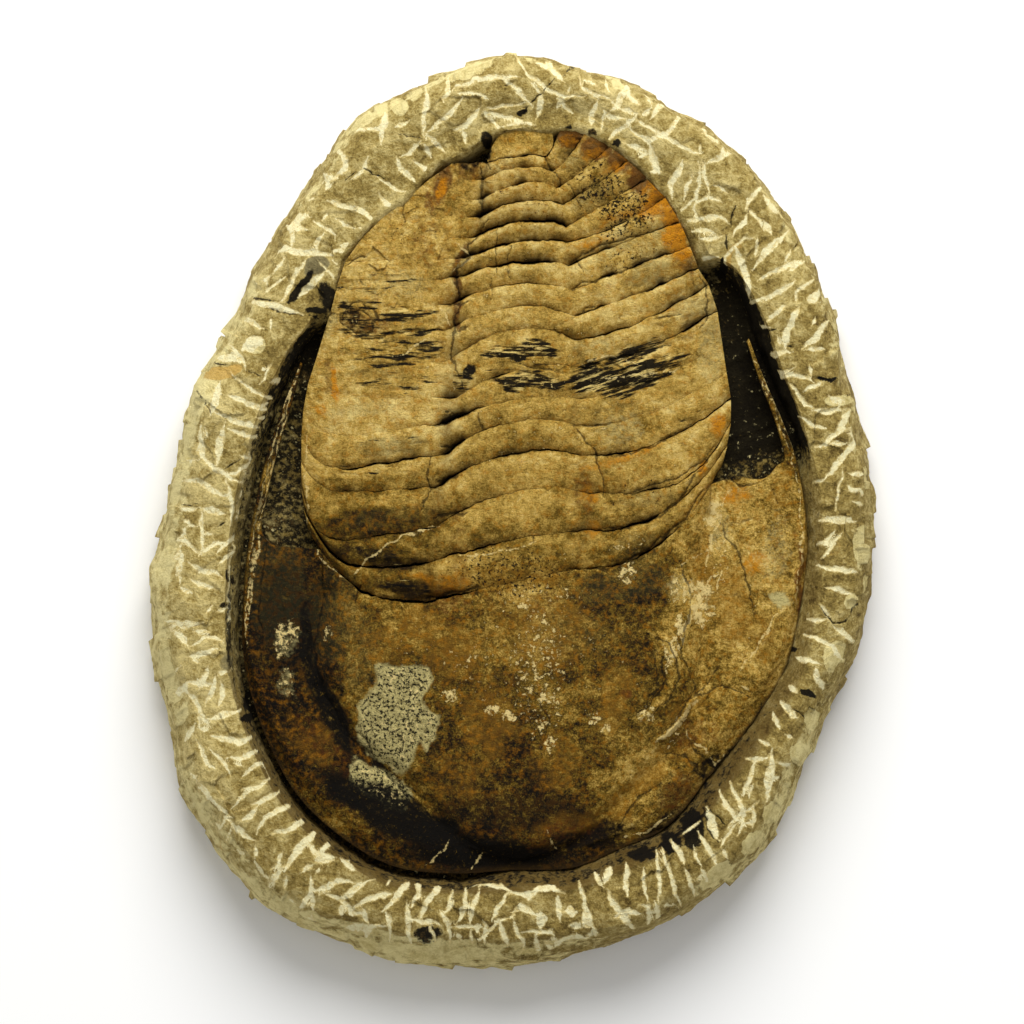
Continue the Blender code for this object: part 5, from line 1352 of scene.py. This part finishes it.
class SlabSettings(bpy.types.PropertyGroup):
    """Sizes and colours of the mudstone slab."""

    mark_depth: distance("Mark depth", "Depth of a chisel mark", 0.0004, 0.002)
    hewn_depth: distance("Hewn relief", "Height of the hewn chips on the rim", 0.0006, 0.003)
    rim_dark: tint_property("Rim dark", "Darker tone of the rim", 84, 66, 28)
    rim_middle: tint_property("Rim middle", "Middle tone of the rim", 160, 137, 72)
    rim_light: tint_property("Rim light", "Lighter tone of the rim", 222, 202, 134)
    side_dark: tint_property("Side dark", "Darker tone of the broken sides", 190, 168, 98)
    side_light: tint_property("Side light", "Lighter tone of the broken sides", 238, 222, 156)
    chisel_dark: tint_property("Bruise dark", "Darker tone of the chisel marks", 230, 208, 140)
    chisel_light: tint_property("Bruise light", "Lighter tone of the chisel marks", 255, 246, 196)
    # Colour of the dirt and painted shade on the rim near the hollow and towards the bottom, and the lighter
    # end of the black stain
    brown: tint_property("Brown", "Dirt on the rim near the hollow", 92, 70, 30)
    grey: tint_property("Grey", "Grey stain", 96, 92, 70)
    ochre: tint_property("Ochre", "Colour of the ochre flakes", 205, 165, 84)
    black: tint_property("Black", "Colour of the black stain", 11, 8, 4)


class FossilSettings(bpy.types.PropertyGroup):
    """Sizes and colours of the fossil."""

    crevice: distance("Crevice", "Widest gap between two body rings", 0.0009, 0.002)
    mottling: amount("Mottling", "Spread of the tone from spot to spot", 0.8)
    shell_light: tint_property("Shell light", "Lightest tan of the shell", 252, 223, 136)
    shell_tan: tint_property("Shell tan", "Golden tan of the body", 212, 173, 82)
    shell_brown: tint_property("Shell brown", "Olive brown of the head", 122, 95, 26)
    shell_dark: tint_property("Shell dark", "Dark brown of the head", 52, 37, 8)
    # Colour of the dirt and painted shade in the crevices and at the plates' edges
    dirt: tint_property("Dirt", "Dirt in the crevices", 50, 34, 9)
    grey: tint_property("Grey", "Blue-grey tint", 66, 62, 34)
    pale: tint_property("Pale", "Bare pale patches", 216, 200, 132)
    bare_dark: tint_property("Bare dark", "Darker tone of the bare patches", 146, 130, 74)
    rust: tint_property("Rust", "Dark rust stain", 98, 50, 12)
    gold: tint_property("Gold", "Golden-brown tint of the shell", 158, 112, 32)
    orange: tint_property("Orange", "Bright orange stain", 216, 136, 8)
    amber: tint_property("Amber", "Lighter tone of the orange stain", 236, 168, 40)
    black: tint_property("Black", "Black stain", 11, 8, 4)
    crystal: tint_property("Crystal", "White and cream crystals", 255, 228, 152)


class StageSettings(bpy.types.PropertyGroup):
    """Camera, light and floor."""

    camera_height: distance("Camera height", "Height of the camera above the floor", 3.0, 20)
    frame_width: distance("Frame width", "Width of the view at the slab", 0.3413, 2)
    floor_size: distance("Floor size", "Width of the floor", 6.0, 50)
    floor_colour: tint_property("Floor", "Colour of the floor", 250, 250, 248)
    key_power: amount("Key power", "Power of the key light in watts", 47, "POWER")
    fill: amount("Fill", "Strength of the even light all round", 0.45)


def slab_profile(angles):
    """Rings of the slab from the underside's edge, up the side, over the rim and down to the
    hollow's floor: a radius and a height in every direction, as in the solid."""
    widest = radius_at(SLAB_OUTLINE, angles)
    foot = radius_at(HOLLOW_FOOT, angles)
    edge = foot + width_at(WALL_RUN, angles)
    flare = width_at(SIDE_FLARE, angles)
    top = widest - flare
    wall_top = RIM_HEIGHT + width_at(WALL_TOP, angles)
    wave = 0.8 * np.sin(5 * angles + 0.4) + 0.5 * np.sin(11 * angles + 2) + 0.3 * np.sin(23 * angles)
    ledge = 0.9 * np.sin(17 * angles + 1) + 0.6 * np.sin(29 * angles)
    level = np.ones(len(angles))
    fill = width_at(HOLLOW_FILL, angles)
    middle = (wall_top + FLOOR_HEIGHT) / 2 + wave
    return np.array([
        (widest - 6 - np.abs(ledge), 0 * level),
        (widest - 1.2, 5 + ledge),
        (widest, 13 + wave + ledge),
        (widest - 0.35 * flare + 0.4 * ledge, 24 - ledge),
        (top + 0.8, RIM_HEIGHT - 6 + wave),
        (top - 2.5, RIM_HEIGHT - 1.5 + wave),
        ((edge + top) / 2, RIM_HEIGHT + 1 - 1.3 * fill + wave),
        (edge + 1.2 + fill, wall_top + 1.2 - 0.7 * fill + (0.6 - 0.3 * fill) * wave),
        (edge, wall_top + 0.2 * fill + (0.6 - 0.4 * fill) * wave),
        (foot + 0.35 * (edge - foot) - 3.4 * fill, middle + (width_at(LEDGE_HEIGHT, angles) - middle) * fill),
        (foot - 7 * fill, FLOOR_HEIGHT * level),
    ])


def between_rings(rings, stations):
    """Radius and height at fractional ring numbers: a Catmull-Rom blend of the four nearest rings."""
    low = np.clip(np.floor(stations).astype(int), 0, len(rings) - 2)
    near = (rings[np.clip(low + step, 0, len(rings) - 1)] for step in (-1, 0, 1, 2))
    return catmull_rom(*near, (stations - low)[:, None, None])


def slab_rows(angles):
    """Rows of the slab from inside its underside, up the side and over the rim to the middle of the
    floor: the ring number of each row, and its radius and height in every direction."""
    rings = slab_profile(angles)
    stations = np.concatenate([
        np.linspace(0, RIM_RING, SIDE_ROWS, endpoint=False),
        np.linspace(RIM_RING, LIP_RING, RIM_ROWS, endpoint=False),
        np.linspace(LIP_RING, FLOOR_RING, WALL_ROWS),
    ])
    shares = np.array(FLOOR_SHARES)
    floor_height = np.full((len(shares), SLAB_COLUMNS), FLOOR_HEIGHT)
    under = np.stack([rings[:1, 0] * UNDERSIDE_SHARE, np.zeros((1, SLAB_COLUMNS))], axis=1)
    floor = np.stack([rings[-1, 0] * shares[:, None], floor_height], axis=1)
    radius, height = np.moveaxis(np.concatenate([under, between_rings(rings, stations), floor]), 1, 0)
    return np.concatenate([(-1,), stations, FLOOR_RING + np.arange(1, len(shares) + 1)]), radius, height


def slab_zones(station):
    """Shares of the slab's side, rim, wall and floor at each point, by the number of its ring."""
    return {
        "side": smooth_step(0, 0.6, station) * smooth_step(5.4, 4.6, station),
        "rim": smooth_step(4.6, 5.4, station) * smooth_step(8.3, 7.9, station),
        "wall": smooth_step(7.9, 8.4, station) * smooth_step(10.2, 9.6, station),
        "floor": smooth_step(9.9, 10.0, station),
    }


def slab_fields(plan, station, angle, zones):
    """Stains, cracks and chisel marks of the slab at each point: patches and lines of its plan, which
    fade down its side and its wall, black stain and painted shade by compass angle, dirt and painted
    shade near the hollow and towards the bottom, and painted light towards the left and top."""
    wavy = pushed_about(plan, 0.5, 3, 21)
    above = 1 - 0.85 * smooth_step(3.4, 2.4, station)
    fields = {key: above * patches_at(wavy, patches) for key, patches in SLAB_PATCHES.items()}
    fields.update(lines_at(wavy, "crack", SLAB_CRACKS, 2, 0.7))
    fields.update(lines_at(wavy, "chisel", CHISEL_MARKS + SLAB_FLECKS, 2, 0.95))
    for key in ("chisel", "crack"):
        fields[key] -= 3 * (smooth_step(4, 3.2, station) + smooth_step(8.4, 9.1, station))
    fields["side"] = np.maximum(zones["side"] * width_at(SIDE_PALE, angle), fields.pop("pale"))
    # Black stain and painted shade: the wall is blackened by compass angle and the floor to at least 0.6
    stain = width_at(WALL_STAIN_AND_SHADE, angle)
    hollow_stain_and_shade = np.maximum(zones["floor"] * np.maximum(stain, 0.6), zones["wall"] * stain)
    fields["black"] = np.maximum(fields["black"], hollow_stain_and_shade)
    x, y = plan.T
    # Dirt and painted shade: the rim darkens over its inner lip near the hollow, more towards the bottom, and
    # the whole slab darkens towards the bottom
    darker_towards_bottom = 0.35 * smooth_step(40, 0, y) + 0.4 * smooth_step(-20, -90, y)
    fields["dirt"] = smooth_step(6.6, 8.2, station) * darker_towards_bottom + 0.28 * smooth_step(-60, -110, y)
    # Painted light: the slab is lighter towards its left and towards its top
    fields["painted_light"] = 0.2 * smooth_step(-60, -105, x) + 0.1 * smooth_step(50, 110, y)
    fields["flecks"] = np.maximum(0.7 * zones["floor"], 0.4 * zones["rim"])
    return fields


def slab_relief(plan, height, angle, zones, fields, settings):
    """How far each point of the slab is lifted and how far it is pushed out, in mm: hewn chips with
    chisel marks and cracks cut into them on the rim, broken chips on the side, lumps in the hollow."""
    unrolled = np.column_stack([angle * SLAB_RADIUS, height])
    wrap = np.column_stack([plan, height])
    hewn = chips(plan, 11, 31, 0.16) + 0.5 * chips(plan, 4, 35, 0.2) + 0.5 * noise(plan, 5, 36, 4)
    marks = settings.mark_depth / MM * smooth_step(-0.6, 0.6, fields["chisel"])
    cracks = 0.6 * smooth_step(-0.3, 0.3, fields["crack"])
    lift = zones["rim"] * (settings.hewn_depth / MM * hewn - marks - cracks)
    lift += zones["floor"] * 0.7 * noise(plan, 4, 37, 4)
    push = zones["side"] * (chips(unrolled * (1, 2), 12, 41, 0.18) + 0.5 * noise(wrap, 6, 42, 4))
    push += zones["wall"] * 0.7 * noise(wrap * (1, 1, 3), 4, 43, 4)
    return lift, push


def closed_rings(points):
    """Closes rings of points into a solid: a pole under the middle and one on the floor, and the faces
    between the rings and round both poles."""
    rings = len(points) // SLAB_COLUMNS
    index = np.arange(len(points)).reshape(rings, SLAB_COLUMNS)
    index = np.column_stack([index, index[:, 0]])
    quads = strip(index[:-1], index[1:])[:, ::-1]
    under = np.full(SLAB_COLUMNS, len(points))
    fan_under = np.column_stack([index[0, 1:], index[0, :-1], under])
    fan_floor = np.column_stack([index[-1, :-1], index[-1, 1:], under + 1])
    points = np.vstack([points, (0, 0, 0), (0, 0, FLOOR_HEIGHT)])
    return points, quads.tolist() + fan_under.tolist() + fan_floor.tolist()


class FOSSIL_OT_matrix_slab(bpy.types.Operator):
    """Builds the mudstone slab with its broken sides, chiselled rim and hollow, black with stain and painted
    shade
    """

    bl_idname = "fossil.matrix_slab"
    bl_label = "Matrix slab"

    def execute(self, context):
        settings = context.scene.fossil_slab
        angles = np.arange(SLAB_COLUMNS) * 2 * math.pi / SLAB_COLUMNS
        stations, radius, height = (part.ravel() for part in slab_rows(angles))
        station = np.repeat(stations, SLAB_COLUMNS)
        angle = np.tile(angles, len(stations))
        direction = np.column_stack([np.cos(angle), np.sin(angle)])
        plan = radius[:, None] * direction
        zones = slab_zones(station)
        fields = slab_fields(plan, station, angle, zones)
        lift, push = slab_relief(plan, height, angle, zones, fields, settings)
        rings = np.column_stack([(radius + push)[:, None] * direction, height + lift])
        points, faces = closed_rings(rings)
        values = {key: np.append(value, POLE_VALUES) for key, value in fields.items()}
        slab = add_piece("mudstone_slab", points, faces, values, mudstone_material(settings))
        settle(slab, "matrix_slab")
        return {"FINISHED"}


class FOSSIL_OT_head_shield(bpy.types.Operator):
    """Builds the head plate with its spines, furrow, vault and eye"""

    bl_idname = "fossil.head_shield"
    bl_label = "Head shield"

    def execute(self, context):
        settings = context.scene.fossil_shell
        u = np.linspace(*HEAD_MEETS_RING, HEAD_COLUMNS)
        body = crevice_side(HEAD_EDGE, u, -1, settings)
        inner = np.vstack([spline(LEFT_CHEEK_BACK), body, spline(RIGHT_CHEEK_BACK)])
        shares = np.linspace(0, 1, HEAD_COLUMNS)
        start, end = along(inner, shares), along(spline(HEAD_OUTER), shares)
        outward = np.linspace(0, 1, HEAD_ROWS)[:, None, None]
        flat = (start + (end - start) * outward).reshape(-1, 2)
        share = np.repeat(outward.ravel(), HEAD_COLUMNS)
        relief, fields = fossil_fields(flat)
        height = head_height(flat, share) + relief
        # Painted shade: the crevice share darkens the head's outer edge, where its border rolls down to the
        # hollow
        fields["crevice"] = 0.85 * smooth_step(0.97, 1.0, share)
        top = np.column_stack([flat, height]).reshape(HEAD_ROWS, HEAD_COLUMNS, 3)
        head = solid_from_grid("head_plate", top, fields, shell_material("dark fossil shell", settings, 1.0))
        settle(head, "head_shield")
        return {"FINISHED"}


class FOSSIL_OT_body_rings(bpy.types.Operator):
    """Builds the sixteen body rings, each between two worn ring edges"""

    bl_idname = "fossil.body_rings"
    bl_label = "Body rings"

    def execute(self, context):
        settings = context.scene.fossil_shell
        material = shell_material("golden fossil shell", settings, 0.7)
        u = np.linspace(-1, 1, RING_COLUMNS)
        share = np.linspace(0, 1, RING_ROWS)
        v = (share + smooth_step(0, 1, share))[:, None] / 2
        for number in range(1, len(RING_EDGES)):
            upper = crevice_side(number - 1, u, -1, settings)
            lower = crevice_side(number, u, 1, settings)
            tail_open, head_open = openness(number - 1, u), openness(number, u)
            flat = (upper + (lower - upper) * v[:, :, None]).reshape(-1, 2)
            place = (number - 1 + v) / HEAD_EDGE
            relief, fields = fossil_fields(flat)
            height = thorax_height(u, v, place, tail_open, head_open).ravel() + relief
            below = (1 - v) * np.abs(upper - lower)[:, 1]
            # Dirt and painted shade: darker before each open headward edge, where the ring dips away from the
            # light, and in the furrows, the left one more
            dirt = ring_dirt_and_shade(u, v, below, tail_open, head_open)
            patchy = 0.75 + 0.5 * noise(flat, 7, 60)
            fields["crevice"] = np.clip(dirt.ravel() * patchy, 0, MOST_DIRT_AND_SHADE)
            # Painted highlight: the tone is lighter on the raised lip just below each open tailward edge
            fields["tone"] -= (0.2 * tail_open * hump(v, 0.22, 0.18)).ravel()
            top = np.column_stack([flat, height]).reshape(RING_ROWS, RING_COLUMNS, 3)
            ring = solid_from_grid(f"body_ring_{number:02d}", top, fields, material)
            settle(ring, f"thorax_segment_{number:02d}")
        return {"FINISHED"}


class FOSSIL_OT_tail_shield(bpy.types.Operator):
    """Builds the small rounded last plate"""

    bl_idname = "fossil.tail_shield"
    bl_label = "Tail shield"

    def execute(self, context):
        settings = context.scene.fossil_shell
        shares = np.linspace(0, 1, TAIL_COLUMNS)
        u = (2 * shares - 1) * AXIS_SHARE * TAIL_EDGE_SHARE
        base = crevice_side(0, u, 1, settings)
        outline = along(spline(TAIL_OUTLINE), shares)
        outward = np.linspace(0, 1, TAIL_ROWS)[:, None]
        flat = (base + (outline - base) * outward[:, :, None]).reshape(-1, 2)
        crown = (1 - (2 * shares - 1) ** 2) * (1 - 0.6 * outward**2)
        relief, fields = fossil_fields(flat)
        height = (TAIL_SHIELD_CREST - TAIL_SHIELD_VAULT * (1 - crown)).ravel() + relief
        # Painted shade: the crevice share darkens the tail plate along its seam with the first body ring
        fields["crevice"] = np.repeat(0.8 * smooth_step(0.12, 0, outward), TAIL_COLUMNS)
        top = np.column_stack([flat, height]).reshape(TAIL_ROWS, TAIL_COLUMNS, 3)[::-1]
        fields = {key: value.reshape(TAIL_ROWS, TAIL_COLUMNS)[::-1].ravel() for key, value in fields.items()}
        tail = solid_from_grid("tail_plate", top, fields, shell_material("tail fossil shell", settings, 0.7))
        settle(tail, "tail_shield")
        return {"FINISHED"}


class FOSSIL_OT_stage(bpy.types.Operator):
    """Makes the pale floor, the soft light and the camera straight above"""

    bl_idname = "fossil.stage"
    bl_label = "Stage"

    def execute(self, context):
        settings = context.scene.fossil_stage
        half = settings.floor_size / 2
        corners = [(-half, -half, 0), (half, -half, 0), (half, half, 0), (-half, half, 0)]
        mesh = bpy.data.meshes.new("pale_floor")
        mesh.from_pydata(corners, [], [(0, 1, 2, 3)])
        material, _, shader = new_material("pale floor")
        shader.inputs["Base Color"].default_value = (*settings.floor_colour, 1)
        shader.inputs["Roughness"].default_value = FLOOR_ROUGHNESS
        mesh.materials.append(material)
        floor = new_object("pale_floor", mesh)
        key = bpy.data.lights.new("key light", "AREA")
        key.shape = "DISK"
        key.size = KEY_LIGHT_WIDTH
        key.energy = settings.key_power
        lamp = new_object("key light", key)
        lamp.location = KEY_LIGHT_PLACE
        lamp.rotation_euler = (-lamp.location).to_track_quat("-Z", "Y").to_euler()
        world = bpy.data.worlds.new("soft light all round")
        world.use_nodes = True
        background = world.node_tree.nodes["Background"]
        background.inputs["Color"].default_value = (1, 1, 1, 1)
        background.inputs["Strength"].default_value = settings.fill
        context.scene.world = world
        lens = bpy.data.cameras.new("camera")
        lens.sensor_width = SENSOR_WIDTH
        lens.lens = SENSOR_WIDTH * (settings.camera_height - HEAD_BORDER * MM) / settings.frame_width
        lens.clip_end = VIEW_DEPTH
        camera = new_object("camera", lens)
        camera.location = (0, 0, settings.camera_height)
        context.scene.camera = camera
        context.scene.view_settings.view_transform = "Standard"
        return {"FINISHED"}


class FOSSIL_PT_panel(bpy.types.Panel):
    """Lists the settings and the operators"""

    bl_idname = "FOSSIL_PT_panel"
    bl_label = "Fossil trilobite"
    bl_space_type = "VIEW_3D"
    bl_region_type = "UI"
    bl_category = "Fossil"

    def draw(self, context):
        for key, group in SETTINGS.items():
            box = self.layout.box()
            for name in group.__annotations__:
                box.prop(getattr(context.scene, key), name)
        for operator in OPERATORS:
            self.layout.operator(operator.bl_idname)


SETTINGS = {
    "fossil_slab": SlabSettings,
    "fossil_shell": FossilSettings,
    "fossil_stage": StageSettings,
}
OPERATORS = (
    FOSSIL_OT_matrix_slab,
    FOSSIL_OT_head_shield,
    FOSSIL_OT_body_rings,
    FOSSIL_OT_tail_shield,
    FOSSIL_OT_stage,
)
CLASSES = (*SETTINGS.values(), *OPERATORS, FOSSIL_PT_panel)


def register():
    """Registers the classes and gives every scene their settings."""
    for item in CLASSES:
        bpy.utils.register_class(item)
    for key, group in SETTINGS.items():
        setattr(bpy.types.Scene, key, bpy.props.PointerProperty(type=group))


def unregister():
    """Takes away what register added."""
    for key in SETTINGS:
        delattr(bpy.types.Scene, key)
    for item in reversed(CLASSES):
        bpy.utils.unregister_class(item)


def main():
    """Builds the pieces and the stage."""
    register()
    bpy.ops.fossil.matrix_slab()
    bpy.ops.fossil.head_shield()
    bpy.ops.fossil.body_rings()
    bpy.ops.fossil.tail_shield()
    bpy.ops.fossil.stage()


if __name__ == "__main__":
    main()
